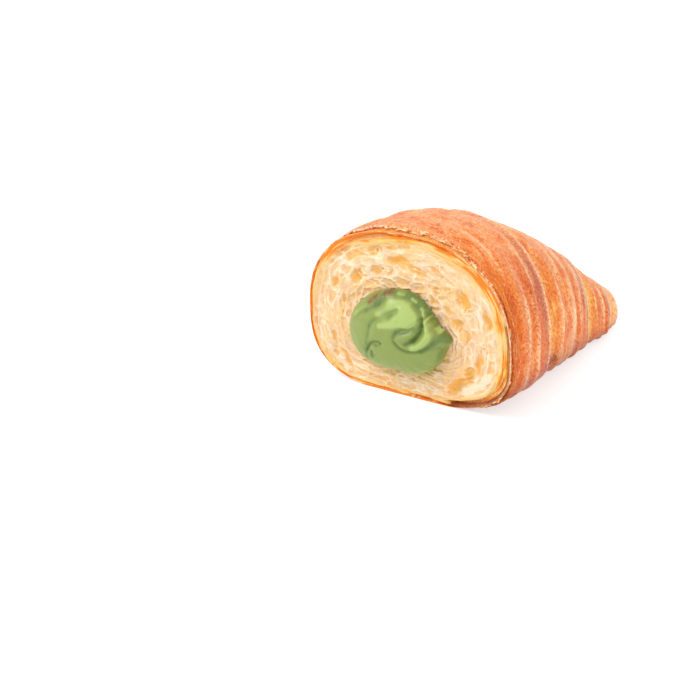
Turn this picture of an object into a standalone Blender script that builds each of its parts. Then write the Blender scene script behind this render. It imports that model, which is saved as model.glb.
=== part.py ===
"""Half of a croissant filled with pistachio cream, cut across and resting on its baked base.

Metres, +Z up. The cut face looks along -Y and the pointed end lies towards +Y. The origin is the
middle of the base's outline. Two pieces: the pastry, and the cream that runs into it from the cut.
"""

import math

import bmesh
import bpy
import numpy as np
from mathutils import Vector

MM = 0.001

# The cut face: a dome on a flattened base
CUT_HALF_WIDTH = 35.0 * MM
CUT_HEIGHT = 51.3 * MM
BELLY_LEFT = 0.47  # height of the widest place, as a share of the height, on the left
BELLY_RIGHT = 0.34
TOP_ROUNDNESS = 2.3  # exponent of the superellipse above the belly
BASE_ROUNDNESS_LEFT = 3.0
BASE_ROUNDNESS_RIGHT = 2.7
BASE_SINK = 0.9 * MM  # how much of the round underside the baking tray has flattened

# The roll from the cut to the point. Each station: how far its middle lies to the right and back, the
# turn of its plane in degrees, and its half width and height as shares of those of the cut
STATIONS = (
    (0.0, 0.0, 0.0, 1.0, 1.0),
    (2.2 * MM, 12.0 * MM, 16.0, 1.02, 1.025),
    (6.6 * MM, 33.6 * MM, 22.5, 0.915, 0.935),
    (12.4 * MM, 52.0 * MM, 25.5, 0.71, 0.745),
    (17.2 * MM, 66.0 * MM, 29.0, 0.51, 0.55),
    (22.4 * MM, 79.5 * MM, 31.0, 0.33, 0.34),
    (25.2 * MM, 93.0 * MM, 32.0, 0.20, 0.19),
)
LAST_STATION = len(STATIONS) - 1
TIP_START = 5.3  # where the point begins to round off, in stations
TIP_END = 6.04  # where it would close
TIP_MIDDLE = 0.4  # height of the point's middle, as a share of its section's height
TIP_CAP = 0.5  # length of its rounded end, as a share of its last step

# The rolled sheets of dough, from the cut to the point: where each ends in a lip that stands over the
# next one, the rise of that lip, and how deep the sheet's own start is tucked under the lip before it
SHEET_ENDS = (2.0, 4.0, 5.2, LAST_STATION)  # in stations
LIP_RISES = (0.7 * MM, 0.8 * MM, 0.4 * MM, 0.0)
TUCKS = (0.0, 0.8 * MM, 1.0 * MM, 0.5 * MM)
TUCK_SHARE = 0.1  # how soon the sheet comes out of its tuck
LIP_NOSE = 0.05  # share of the sheet over which its lip rounds off
EDGE_WAVE = 0.03  # how far a lip wanders, in stations
RIBS = ((0.60, 0.80), (0.24, 0.46, 0.70), (0.36, 0.68), ())  # low ribs of each sheet
RIB_RISE = 0.45 * MM
RIB_WIDTH = 0.055
SHEET_ROWS = (8, 7, 5, 7)
AROUND = 80  # points round the pastry

# The crumb and crust on the cut face
FACE_START = 0.40  # share of the way out from the middle of the cream
FACE_END = 0.92
FACE_RINGS = 15
RIM_THICKNESS = 3.0 * MM
RIM_SLOPE = 0.4  # where the rim's inner edge begins to fall to the crumb, in thicknesses
CRUMB_SINK = 0.6 * MM
CELL_DEPTH = 1.7 * MM
# The largest air cells: angle round the cream in degrees, distance from its middle, length along the
# layers and width across them
CELLS = (
    (139, 22.0 * MM, 5.4 * MM, 3.4 * MM),
    (114, 25.6 * MM, 5.6 * MM, 3.0 * MM),
    (97, 21.8 * MM, 6.8 * MM, 3.0 * MM),
    (118, 20.0 * MM, 4.8 * MM, 2.6 * MM),
    (80, 20.2 * MM, 8.4 * MM, 2.6 * MM),
    (34, 24.0 * MM, 6.2 * MM, 4.2 * MM),
    (16, 19.4 * MM, 4.6 * MM, 4.0 * MM),
    (18, 29.0 * MM, 6.2 * MM, 2.6 * MM),
    (-1, 26.6 * MM, 4.4 * MM, 3.0 * MM),
    (-14, 25.6 * MM, 4.8 * MM, 4.6 * MM),
    (-27, 24.0 * MM, 5.2 * MM, 4.2 * MM),
    (-40, 23.0 * MM, 6.6 * MM, 3.6 * MM),
    (156, 26.4 * MM, 5.0 * MM, 2.6 * MM),
    (-146, 23.6 * MM, 5.6 * MM, 2.6 * MM),
    (58, 23.2 * MM, 5.6 * MM, 2.4 * MM),
)
# The slit where the outermost flake has parted from the rim, low on the right
SLIT_FROM, SLIT_TO = -52.0, -4.0  # degrees
SLIT_ENDS = 10.0
SLIT_RINGS = (0.935, 0.952, 0.972)  # its near side, its bottom and its far side
SLIT_DEPTH = 2.6 * MM

# The cream: its middle on the cut face, its swirl in front of the cut, and its core behind
CREAM_X, CREAM_Z = -1.7 * MM, 21.0 * MM
CREAM_HALF_WIDTH = 17.0 * MM
CREAM_HALF_HEIGHT = 12.8 * MM
CREAM_ROUNDNESS = 2.1
CREAM_LOBE = 0.04  # three soft corners, as a share of the radius
CREAM_SWELL = 8.0 * MM
CREAM_FULLNESS = 0.42
CREAM_LIFT_OFF = 0.6 * MM  # height of its widest ring in front of the cut
CREAM_OVERHANG = 1.3 * MM  # how far the swirl spreads beyond its core
CREAM_UNDERCUT = 0.3 * MM  # how far its rim draws in again where it meets the plane of the cut
LIP_ANGLE, LIP_HALF_ANGLE = 4.0, 9.0  # degrees, of the small pulled-out lip on the right
LIP_REACH = 1.4 * MM
CORE_START = 0.2 * MM  # behind the plane of the cut
CORE_TAPER = 0.97
CORE_CAP, TUNNEL_CAP = 0.04, 0.1  # lengths of their rounded ends, as shares of the last step
CREAM_GAP = 0.35 * MM
TUNNEL_MOUTH = 6.0 * MM  # how far the cutter reaches out in front of the cut
CREAM_REACH = 4.4  # how far the core runs in, in stations
CREAM_AROUND = 54
CREAM_RINGS = 18
CREAM_CORE_ROWS = 6
# Folds of the cream: the line of each right of and above its middle, in mm, how far it stands out (or
# lies deep, where negative), and its half width
FOLDS = (
    (((1, 11.6), (5, 11.2), (8, 9.4), (10.2, 6.6), (10.6, 3.4), (9, 0.6), (6, -0.4), (3.4, 0.6)), -1.5, 1.3),
    (((9.6, 10), (12.2, 7), (13.4, 4), (12.2, 0.8), (9.2, -1.4), (5.6, -2)), 1.1, 1.3),
    (((14.6, 2.8), (11.8, -1.6), (8, -4), (4, -3.8), (1.6, -1.8)), -0.9, 1.1),
    (((2, 9), (-1.5, 6.8), (-5.4, 4.4), (-7.2, 1), (-7.4, -2.6)), -0.8, 1.2),
    (((-2.6, -3), (-4.6, -2), (-7, -3.4), (-8, -6), (-7.6, -8.4)), -1.2, 1.1),
    (((-12, 3), (-8.6, 6.4), (-4.8, 8.6), (-2.6, 11)), -0.7, 1.2),
)

PASTRY_COLOUR = (0.80, 0.36, 0.10, 1.0)
CREAM_COLOUR = (0.36, 0.46, 0.13, 1.0)


def stations_at(t):
    """The five values of STATIONS at t, on a smooth curve through them. t is an array."""
    table = np.array(STATIONS)
    slopes = np.gradient(table, axis=0)
    i = np.clip(np.floor(t).astype(int), 0, len(table) - 2)
    u = (t - i)[..., None]
    start, end = table[i], table[i + 1]
    return (
        (2 * u**3 - 3 * u**2 + 1) * start
        + (u**3 - 2 * u**2 + u) * slopes[i]
        + (3 * u**2 - 2 * u**3) * end
        + (u**3 - u**2) * slopes[i + 1]
    )


def superellipse(angle, half_width, rise, exponent):
    """Distance from the centre to the outline in the direction of angle."""
    across = np.abs(np.cos(angle)) / half_width
    up = np.abs(np.sin(angle)) / rise
    return (across**exponent + up**exponent) ** (-1.0 / exponent)


def outline(angle, half_width, height, lift):
    """Sideways and upward place of the pastry's outline, grown outwards by lift."""
    on_left = np.cos(angle) < 0
    above = np.sin(angle) >= 0
    belly = np.where(on_left, BELLY_LEFT, BELLY_RIGHT) * height
    rise = np.where(above, height - belly, belly + BASE_SINK) + lift
    below = np.where(on_left, BASE_ROUNDNESS_LEFT, BASE_ROUNDNESS_RIGHT)
    radius = superellipse(angle, half_width + lift, rise, np.where(above, TOP_ROUNDNESS, below))
    return radius * np.cos(angle), np.maximum(belly + radius * np.sin(angle), 0.0)


def on_roll(t, angle, lift):
    """Points of the pastry's skin at t along the roll and angle round it."""
    right, back, turn, width_share, height_share = np.moveaxis(stations_at(t), -1, 0)
    height = height_share * CUT_HEIGHT
    side, up = outline(angle, width_share * CUT_HALF_WIDTH, height, lift)
    past = np.clip((t - TIP_START) / (TIP_END - TIP_START), 0, 1)
    closing = np.sqrt(1 - past**2)
    side, up = side * closing, TIP_MIDDLE * height * (1 - closing) + up * closing
    turn = np.radians(turn)
    return np.stack([right + side * np.cos(turn), back - side * np.sin(turn), up], -1)


def edge_at(number, angle):
    """Where along the roll the sheet ends. The cut and the point don't wander."""
    if number < 0:
        return np.zeros_like(angle)
    if number == len(SHEET_ENDS) - 1:
        return np.full_like(angle, SHEET_ENDS[number])
    wander = np.sin(2 * angle + 1.3 * (number + 1)) + 0.6 * np.sin(3 * angle + 2.1 * (number + 1))
    return SHEET_ENDS[number] + EDGE_WAVE * wander


def sheet_lift(number, share):
    """How far the sheet stands out from the plain roll, share of its way from its start to its lip."""
    nose = max(0.0, share - (1 - LIP_NOSE)) / LIP_NOSE
    lift = LIP_RISES[number] * share**1.5 * (1 - 0.5 * nose**2)
    lift -= TUCKS[number] * math.exp(-share / TUCK_SHARE)
    for rib in RIBS[number]:
        lift += RIB_RISE * math.exp(-(((share - rib) / RIB_WIDTH) ** 2))
    return lift


def row_shares(number):
    """Where the sheet's rows lie: spread evenly, and closer at its tuck, its lip and each rib."""
    wanted = {0.0, 0.05, 1 - LIP_NOSE, 1.0} if number < len(SHEET_ENDS) - 1 else {0.0, 0.05, 1.0}
    for rib in RIBS[number]:
        wanted |= {rib - RIB_WIDTH, rib, rib + RIB_WIDTH}
    count = SHEET_ROWS[number]
    for k in range(1, count):
        even = k / count if number < len(SHEET_ENDS) - 1 else math.sin(0.5 * math.pi * k / count)
        if all(abs(even - share) > 0.5 * RIB_WIDTH for share in wanted):
            wanted.add(even)
    return sorted(wanted)


def skin_rows():
    """Rows of points from the cut to the point. At a lip, the next sheet starts below its nose."""
    angle = np.linspace(0, 2 * np.pi, AROUND, endpoint=False)
    rows = []
    for number in range(len(SHEET_ENDS)):
        near, far = edge_at(number - 1, angle), edge_at(number, angle)
        for share in row_shares(number):
            rows.append(on_roll(near + (far - near) * share, angle, sheet_lift(number, share)))
    return rows


def lofted(name, rows, far_pole):
    """A closed mesh through rows of equal length. The first row is closed by its middle point."""
    made = bmesh.new()
    rings = [[made.verts.new(p) for p in row] for row in rows]
    count = len(rings[0])
    for near, far in zip(rings, rings[1:]):
        for j in range(count):
            k = (j + 1) % count
            made.faces.new((near[j], near[k], far[k], far[j]))
    ends = ((rings[0], np.mean(rows[0], axis=0), 1), (rings[-1], far_pole, -1))
    for ring, place, way in ends:
        pole = made.verts.new(place)
        for j in range(count):
            made.faces.new((ring[j], pole, ring[(j + 1) % count])[::way])
    mesh = bpy.data.meshes.new(name)
    bmesh.ops.recalc_face_normals(made, faces=made.faces)
    made.to_mesh(mesh)
    made.free()
    return bpy.data.objects.new(name, mesh)


def beyond(rows, share):
    """The point that lies past the last row by a share of the last step."""
    last, before = rows[-1].mean(axis=0), rows[-2].mean(axis=0)
    return last + (last - before) * share


def cell_dents(x, z):
    """Depth of the air cells at points of the cut face."""
    away, around = np.hypot(x - CREAM_X, z - CREAM_Z), np.arctan2(z - CREAM_Z, x - CREAM_X)
    depth = np.zeros_like(x)
    for degrees, distance, length, width in CELLS:
        turned = np.mod(around - math.radians(degrees) + np.pi, 2 * np.pi) - np.pi
        along, across = turned * distance / (length / 2), (away - distance) / (width / 2)
        inside = np.clip(1 - 0.7 * (along**2 + across**2), 0, 1)
        depth = np.maximum(depth, CELL_DEPTH * inside)
    return depth


def slit_dent(share, angle):
    """Depth of the slit behind the parted flake: only its middle ring is deep."""
    degrees = np.degrees(np.mod(angle + np.pi, 2 * np.pi) - np.pi)
    within = np.clip((degrees - SLIT_FROM) / SLIT_ENDS, 0, 1) * np.clip((SLIT_TO - degrees) / SLIT_ENDS, 0, 1)
    return SLIT_DEPTH * within * (share == SLIT_RINGS[1])


def face_rows():
    """Rings of points over the cut face, from inside the cream's outline out to the edge."""
    angle = np.linspace(0, 2 * np.pi, AROUND, endpoint=False)
    edge = on_roll(np.zeros(AROUND), angle, 0.0)
    middle = np.array([CREAM_X, 0.0, CREAM_Z])
    rows = []
    for share in (*np.linspace(FACE_START, FACE_END, FACE_RINGS), *SLIT_RINGS):
        row = middle + (edge - middle) * share
        from_edge = np.linalg.norm(edge - row, axis=1)
        crumb = np.clip(from_edge / RIM_THICKNESS - RIM_SLOPE, 0, 1)
        row[:, 1] += crumb * (CRUMB_SINK + cell_dents(row[:, 0], row[:, 2])) + slit_dent(share, angle)
        rows.append(row)
    return rows


def cream_radius(angle, grow):
    """The swirl's outline at its widest, grown by grow."""
    radius = superellipse(angle, CREAM_HALF_WIDTH, CREAM_HALF_HEIGHT, CREAM_ROUNDNESS)
    return radius * (1 - CREAM_LOBE * np.sin(3 * angle)) + grow


def lip(angle):
    """How far the swirl's lip stands out beyond its outline."""
    degrees = np.degrees(np.mod(angle + np.pi, 2 * np.pi) - np.pi)
    return LIP_REACH * np.exp(-(((degrees - LIP_ANGLE) / LIP_HALF_ANGLE) ** 2))


def core_rows(grow, starts):
    """Rows of the cream's core, grown by grow: at each y in starts, then back to its far end."""
    angle = np.linspace(0, 2 * np.pi, CREAM_AROUND, endpoint=False)
    core = cream_radius(angle, -CREAM_OVERHANG)
    x, z = CREAM_X + (core + grow) * np.cos(angle), CREAM_Z + (core + grow) * np.sin(angle)
    rows = [np.stack([x, np.full(CREAM_AROUND, y), z], -1) for y in starts]
    for k in range(1, CREAM_CORE_ROWS + 1):
        t = CREAM_REACH * (k / CREAM_CORE_ROWS)
        right, back, turn, width_share, height_share = stations_at(np.array(t))
        taper = math.sqrt(1 - CORE_TAPER * (t / CREAM_REACH) ** 2)
        radius = core * taper * min(width_share, height_share) + grow
        side, up = CREAM_X * width_share + radius * np.cos(angle), CREAM_Z * height_share
        turn = math.radians(turn)
        rows.append(np.stack([right + side * math.cos(turn), back - side * math.sin(turn),
                              up + radius * np.sin(angle)], -1))
    return rows


def distance_to_line(x, z, line):
    """Distance of points from a chain of straight pieces."""
    best = np.full(np.shape(x), np.inf)
    for (from_x, from_z), (to_x, to_z) in zip(line, line[1:]):
        along_x, along_z = to_x - from_x, to_z - from_z
        length = along_x**2 + along_z**2
        share = np.clip(((x - from_x) * along_x + (z - from_z) * along_z) / length, 0, 1)
        best = np.minimum(best, np.hypot(x - from_x - share * along_x, z - from_z - share * along_z))
    return best


def fold_relief(x, z):
    """How far the folds raise the front of the cream, at x and z from its middle."""
    relief = np.zeros_like(x)
    for line, rise, half_width in FOLDS:
        away = distance_to_line(x / MM, z / MM, line)
        relief += rise * MM * np.exp(-((away / half_width) ** 2))
    return relief


def cream_front_rows():
    """Rings of the swirl in front of the cut, from the middle of its front out and back to the core."""
    angle = np.linspace(0, 2 * np.pi, CREAM_AROUND, endpoint=False)
    rows = []
    for k in range(1, CREAM_RINGS + 1):
        share = math.sin(0.5 * math.pi * k / CREAM_RINGS)
        radius = (cream_radius(angle, 0.0) + lip(angle) * share**4) * share
        x, z = radius * np.cos(angle), radius * np.sin(angle)
        dome = (1 - share**2) ** CREAM_FULLNESS
        forward = CREAM_LIFT_OFF + CREAM_SWELL * dome + fold_relief(x, z) * min(1.0, 2.2 * dome)
        rows.append(np.stack([CREAM_X + x, -forward, CREAM_Z + z], -1))
    under = cream_radius(angle, -CREAM_UNDERCUT)
    rows.append(np.stack([CREAM_X + under * np.cos(angle), np.zeros(CREAM_AROUND),
                          CREAM_Z + under * np.sin(angle)], -1))
    return rows


def material(name, colour, roughness):
    made = bpy.data.materials.new(name)
    made.use_nodes = True
    shader = made.node_tree.nodes["Principled BSDF"]
    shader.inputs["Base Color"].default_value = colour
    shader.inputs["Roughness"].default_value = roughness
    return made


def finished(piece, collection, finish):
    """Puts the piece in its collection with its material and soft shading."""
    collection.objects.link(piece)
    piece.data.materials.append(finish)
    piece.data.shade_smooth()
    piece.data.set_sharp_from_angle(angle=math.radians(50))
    return piece


def make_tunnel(collection):
    """The cutter that leaves room for the cream, a little wider than its core all round."""
    rows = core_rows(CREAM_GAP, (-TUNNEL_MOUTH, CORE_START))
    tunnel = lofted("cream_tunnel", rows, beyond(rows, TUNNEL_CAP))
    collection.objects.link(tunnel)
    tunnel.hide_render = True
    tunnel.display_type = "WIRE"
    return tunnel


def make_pastry(collection, tunnel):
    """The croissant half: rolled skin, point, base, and the cut face with its crumb."""
    rows = face_rows() + skin_rows()
    pastry = lofted("pastry", rows, beyond(rows, TIP_CAP))
    finished(pastry, collection, material("baked_dough", PASTRY_COLOUR, 0.45))
    cut = pastry.modifiers.new("room for the cream", "BOOLEAN")
    cut.operation = "DIFFERENCE"
    cut.solver = "EXACT"
    cut.object = tunnel
    return pastry


def make_cream(collection):
    """The pistachio cream: the swirl at the cut, and its core inside the pastry."""
    rows = cream_front_rows() + core_rows(0.0, (CORE_START,))
    cream = lofted("pistachio_cream", rows, beyond(rows, CORE_CAP))
    return finished(cream, collection, material("pistachio_cream", CREAM_COLOUR, 0.35))


def centre_on_base(pieces):
    """Moves the pieces so that the origin is the middle of the outline that they cover."""
    points = np.array([v.co for piece in pieces for v in piece.data.vertices])
    middle = (points.min(axis=0) + points.max(axis=0)) / 2
    for piece in pieces:
        piece.location = Vector((-middle[0], -middle[1], 0.0))


def main():
    for old in list(bpy.data.objects):
        bpy.data.objects.remove(old)
    croissant = bpy.data.collections.new("croissant_half")
    cutters = bpy.data.collections.new("cutters")
    bpy.context.scene.collection.children.link(croissant)
    bpy.context.scene.collection.children.link(cutters)
    tunnel = make_tunnel(cutters)
    pastry = make_pastry(croissant, tunnel)
    cream = make_cream(croissant)
    centre_on_base([pastry, cream])
    tunnel.location = pastry.location


main()
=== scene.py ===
"""A croissant half filled with pistachio cream, cut across and resting on its baked base.

Laid out as an add-on and run as a script: each piece and the stage has an operator of its own, listed in
the Croissant tab of the 3D view's sidebar, and takes its sizes and colours from the scene's settings.

Forms are worked out in millimetres in the frame of the cut, and then placed: the origin is the middle of
the cut's bottom edge, +X is to the right as seen from the front, +Y runs into the pastry and +Z is up.
"""

import math

import bpy
import numpy as np
from bpy.props import FloatProperty, FloatVectorProperty, IntProperty, PointerProperty
from bpy.types import Operator, Panel, PropertyGroup
from mathutils import Matrix, Vector


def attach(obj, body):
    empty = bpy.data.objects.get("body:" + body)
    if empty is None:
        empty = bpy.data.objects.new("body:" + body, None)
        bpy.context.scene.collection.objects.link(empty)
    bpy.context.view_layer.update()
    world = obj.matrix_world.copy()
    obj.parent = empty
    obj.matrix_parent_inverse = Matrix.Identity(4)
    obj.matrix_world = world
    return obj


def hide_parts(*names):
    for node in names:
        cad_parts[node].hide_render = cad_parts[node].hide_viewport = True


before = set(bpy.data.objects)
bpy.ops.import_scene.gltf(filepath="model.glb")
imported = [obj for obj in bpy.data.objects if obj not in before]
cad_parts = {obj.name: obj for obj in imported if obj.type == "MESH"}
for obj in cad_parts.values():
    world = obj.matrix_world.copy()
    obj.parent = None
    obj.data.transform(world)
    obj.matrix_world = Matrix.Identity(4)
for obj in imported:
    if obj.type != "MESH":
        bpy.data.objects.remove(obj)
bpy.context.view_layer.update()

bl_info = {
    "name": "Croissant with Pistachio Cream",
    "version": (1, 0, 0),
    "blender": (4, 5, 0),
    "location": "View3D > Sidebar > Croissant",
    "description": "Adds a cut croissant half filled with pistachio cream, and its stage",
    "category": "Add Mesh",
}

MM = 0.001

# The cut: a dome on a flattened base, in mm
CUT_HALF_WIDTH = 35.0
CUT_HEIGHT = 51.3
BELLY_LEFT = 0.47  # height of the widest place, as a share of the height
BELLY_RIGHT = 0.34
TOP_ROUNDNESS = 2.3
BASE_ROUNDNESS_LEFT = 3.0
BASE_ROUNDNESS_RIGHT = 2.7
BASE_SINK = 0.9

# The roll from the cut to the point: right mm, back mm, turn in degrees, width and height as shares
STATIONS = (
    (0.0, 0.0, 0.0, 1.0, 1.0),
    (2.2, 12.0, 16.0, 1.02, 1.025),
    (6.6, 33.6, 22.5, 0.915, 0.935),
    (12.4, 52.0, 25.5, 0.71, 0.745),
    (17.2, 66.0, 29.0, 0.51, 0.55),
    (22.4, 79.5, 31.0, 0.33, 0.34),
    (25.2, 93.0, 32.0, 0.20, 0.19),
)
MM_A_STATION = 16.0  # roughly
MM_NEAR_CUT = 12.0  # mm a station right behind the cut
TIP_START = 5.3
TIP_END = 6.04
TIP_MIDDLE = 0.4
LAST_STATION = 6

# The rolled sheets: where each ends in a lip, the lip's rise, and how deep the sheet's start is tucked
SHEET_ENDS = (2.0, 4.0, 5.2, LAST_STATION)
LIP_RISES = (0.7, 0.8, 0.4, 0.0)
TUCKS = (0.0, 1.1, 1.2, 0.5)
TUCK_SHARE = 0.1
EDGE_WAVE = 0.03
RIBS = ((0.60, 0.80), (0.24, 0.46, 0.70), (0.36, 0.68), ())
RIB_RISE = 0.45
RIB_WIDTH = 0.055
SHEET_NAMES = ("outer_sheet", "middle_sheet", "inner_sheet", "point")
SHEET_STEPS = ((118, 540), (104, 460), (64, 340), (60, 220))  # rows along it and points round it
TUCKED_SHARE = -0.09  # how far a sheet runs on below the lip in front of it
TUCK_SLOPE = 9.0  # how fast it sinks there, in mm for its whole length
SHEET_THICKNESS = 1.3
SKIN_THICKNESS = 0.42  # of the skin's broken edge behind the cut
LIP_STEPS = 8  # steps round a lip
POINT_BULGE = 0.55  # how far the last sheet bulges past its end, in mm
VALLEYS = (0.0, 0.55, 1.0, 1.0)  # how golden each sheet is where it comes out from under the last one
BASE_ZONE = (2.6, 0.3)  # heights between which the relief fades towards the flat base
BASE_DENT = 0.25
# Sizes of the crust's unevenness, in mm: where there are two, along the roll and round it
UNEVEN_SIZE = 13.0
RIB_SIZE, WRINKLE_SIZE, BUMP_SIZE = (3.2, 24.0), (1.1, 5.0), (2.1, 3.8)
WRINKLE_HEIGHT = 0.04
BLISTER_SIZE, BLISTER_SHARE, BLISTER_PATCH = 1.15, 0.6, 9.0
TORN_SIZE, WANDER_SIZE, WANDER = (0.7, 0.9), (30.0, 14.0), 0.9
# Pale ribs round the roll, their pale colour partly painted highlight: mm along it and half width, degrees
# round it and half width, height in mm
PALE_RIBS = (
    (22.3, 0.8, 17, 22, 0.30), (17.0, 0.7, 62, 16, 0.15), (26.8, 0.9, 0, 16, 0.20),
    (21.5, 0.8, -12, 12, 0.15), (40.5, 0.7, 20, 22, 0.32), (48.6, 1.9, 14, 28, 0.50),
    (48.4, 1.4, 62, 20, 0.32), (54.5, 0.7, 24, 18, 0.20), (43.6, 0.8, 52, 14, 0.20),
    (28.0, 0.4, 44, 22, 0.10), (61.4, 0.5, 30, 30, 0.16), (91.0, 4.5, 35, 50, 0.05),
    (57.5, 1.0, 48, 20, 0.25), (76.4, 1.0, 30, 28, 0.34), (71.0, 0.7, 30, 20, 0.22),
    (88.5, 0.9, 30, 30, 0.20), (12.0, 0.5, 150, 26, 0.15), (24.0, 0.7, 185, 24, 0.20),
    (20.0, 0.5, 125, 18, 0.15), (41.0, 0.6, 140, 24, 0.20), (49.5, 1.0, 175, 30, 0.28),
    (57.0, 0.5, 150, 24, 0.16), (70.0, 0.6, 160, 30, 0.20), (78.0, 0.6, 190, 30, 0.20),
    (36.5, 0.5, 200, 16, 0.15),
)
# Darker places, baked darker, and painted shade where they lie low on the right side and at the foot of the
# first lip: mm along the roll and their half length, degrees round it and their half width, strength
SCORCH_AND_SHADE_PATCHES = (
    (8.5, 4.6, 13.0, 15.0, 1.0), (3.5, 3.2, 126.0, 18.0, 0.9), (19.0, 5.0, 12.0, 9.0, 0.4),
    (26.0, 2.6, 27.0, 14.0, 0.7), (31.0, 3.5, -12.0, 6.0, 0.9), (37.0, 2.8, -12.0, 7.0, 1.8),
    (2.0, 2.6, -22.0, 8.0, 1.6), (11.0, 8.0, -17.0, 5.0, 1.0), (25.0, 6.0, -15.0, 4.0, 0.9),
    (17.0, 5.0, 30.0, 12.0, 0.45), (60.0, 3.0, 30.0, 22.0, 0.45), (52.0, 3.0, -10.0, 8.0, 0.6),
    (9.0, 6.0, 176.0, 22.0, 0.4), (27.0, 7.0, 150.0, 24.0, 0.3), (48.0, 7.0, 190.0, 18.0, 0.3),
    (70.0, 7.0, 180.0, 20.0, 0.3), (80.0, 3.5, 20.0, 24.0, 0.35),
)
# The gap at the foot of the first lip, in the same way, with its depth in mm
FOOT_GAP = (37.0, 2.6, -14, 9, 0.9)
# Where the skin is torn near the cut: the skin's edge times the first and plus the second, in mm along the
# roll, its half width, degrees round it and half width, and height in mm
TORN_FACTOR, TORN_BEHIND, TORN_HALF_WIDTH = 1.33, 1.0, 1.5
TORN_DIRECTION, TORN_SPREAD, TORN_HEIGHT = 66, 26, 0.35
# Places of painted pinkish sheen, in the same way as the darker ones
SHEEN_PATCHES = (
    (48.4, 2.6, 14.0, 34.0, 0.9), (62.5, 3.2, 25.0, 36.0, 0.9), (76.4, 1.8, 30.0, 28.0, 0.8),
    (55.0, 5.0, 60.0, 26.0, 0.7), (40.5, 1.6, 22.0, 20.0, 0.5), (72.0, 5.0, 62.0, 24.0, 0.6),
    (20.0, 7.0, 135.0, 34.0, 0.75), (48.0, 5.0, 155.0, 36.0, 0.8), (63.0, 4.0, 165.0, 40.0, 0.8),
    (29.0, 5.0, 185.0, 30.0, 0.6), (10.0, 5.0, 168.0, 28.0, 0.6), (76.0, 3.0, 160.0, 36.0, 0.7),
)
# Factors on the crust's colour in its darker and its brighter grain, and the tint of its shine
DARKER_GRAIN, BRIGHTER_GRAIN = (0.80, 0.42, 0.24), (1.08, 1.50, 1.9)
SHINE_TINT = (1.0, 0.72, 0.48)

# The cut face
FACE_AROUND = 640
CRUMB_ROWS, RIM_ROWS, BAND_ROWS = 66, 34, 26
RIM_ZONE = 5.2  # width in which the rows lie closer
EDGE_ROUND = 0.25  # of the edge between the face and the band
# How far behind the cut the outer skin has broken off, in mm, by degrees
SKIN_EDGES = ((-90, 0.5), (0, 0.4), (40, 0.6), (52, 1.2), (60, 2.1), (74, 2.6), (95, 3.0), (122, 3.2),
              (150, 1.7), (180, 0.9), (230, 0.6))
BAND_END = 5.6  # how far the layered band runs back below the skin
BAND_STEP = 0.7  # between its layers
LAYER_STEP = 0.78  # between the rim's layers on the face
CRUMB_SINK = 0.55  # of the crumb below the rim
CELL_DEPTH = 0.74  # factor on the depths of CELLS
TUNNEL_ROWS = (12.0, 8.0, 4.0, 2.0, 1.0)  # how far back each row of the tunnel's wall lies
BACK_ROWS = ((0.82, 8.0), (0.55, 10.5))  # share of the face's width, and how far back, of the rows behind it
# Small cells, in two sizes: length along the layers, height of a layer, depth, seed, clearness of the walls
SMALL_CELLS = ((6.0, 2.5, 0.85, 31, 0.95), (3.0, 1.2, 0.34, 35, 0.45))
CELL_RING = 24  # radius of the ring on which the small cells are laid out, in mm
# Crumb cells: right and up from the cut's origin, length along the layers, width across, and depth
CELLS = (
    (-18.1, 34.8, 4.6, 3.2, 2.2), (-12.0, 44.0, 5.2, 2.6, 1.8), (-3.7, 42.3, 6.6, 2.8, 2.2),
    (-11.0, 38.2, 4.4, 2.3, 1.7), (1.1, 40.6, 8.6, 2.3, 1.9), (-6.2, 46.0, 5.0, 1.6, 1.2),
    (18.4, 34.0, 5.8, 4.0, 2.4), (16.6, 26.3, 4.2, 3.6, 2.2), (13.2, 30.1, 3.0, 2.0, 1.3),
    (20.0, 23.3, 2.9, 2.0, 1.3), (19.1, 21.3, 2.2, 1.6, 1.0), (26.5, 29.3, 6.0, 2.2, 2.0),
    (25.6, 19.9, 3.4, 2.6, 1.6), (24.0, 14.9, 7.0, 1.8, 1.7), (20.8, 11.0, 5.4, 3.3, 2.2),
    (17.1, 7.1, 8.4, 3.4, 2.3), (-25.9, 31.2, 4.0, 2.2, 1.6), (-22.7, 26.8, 2.8, 1.9, 1.3),
    (-26.0, 13.2, 4.2, 1.7, 1.4), (-25.6, 8.6, 3.0, 1.7, 1.3), (-21.4, 7.2, 7.8, 1.7, 1.4),
    (9.2, 41.4, 5.0, 1.6, 1.3), (9.3, 34.9, 5.6, 1.7, 1.4),
)
# Round the cut, by degrees: the rim's thickness in mm, and how dark its edge is baked
RIM_THICKNESSES = ((0, 3.7), (45, 3.3), (90, 3.1), (120, 3.8), (150, 2.2), (180, 1.3), (230, 1.3), (270, 1.5),
                   (300, 1.9), (330, 3.2))
CHARS = ((0, 0.25), (60, 0.35), (95, 0.55), (125, 0.6), (160, 0.8), (200, 0.75), (240, 0.5), (280, 0.8),
         (310, 0.95), (335, 0.6))
# Slits between the rim's layers: from and to in degrees, mm inside the edge, half width, depth, and darkness
# of the painted shade in them
SLITS = (
    (-52, -4, 1.75, 0.60, 3.0, 0.9), (-64, 24, 0.75, 0.26, 1.3, 0.7), (-40, 14, 2.75, 0.22, 0.8, 0.35),
    (100, 142, 1.70, 0.75, 0.8, 0.55), (132, 150, 3.30, 0.35, 0.5, 0.6), (56, 128, 1.05, 0.28, 0.8, 0.75),
    (150, 214, 0.60, 0.22, 0.8, 0.7), (214, 262, 0.85, 0.20, 0.6, 0.5), (-92, -58, 0.8, 0.28, 1.0, 0.7),
)
SLIT_ENDS = 9.0

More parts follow.
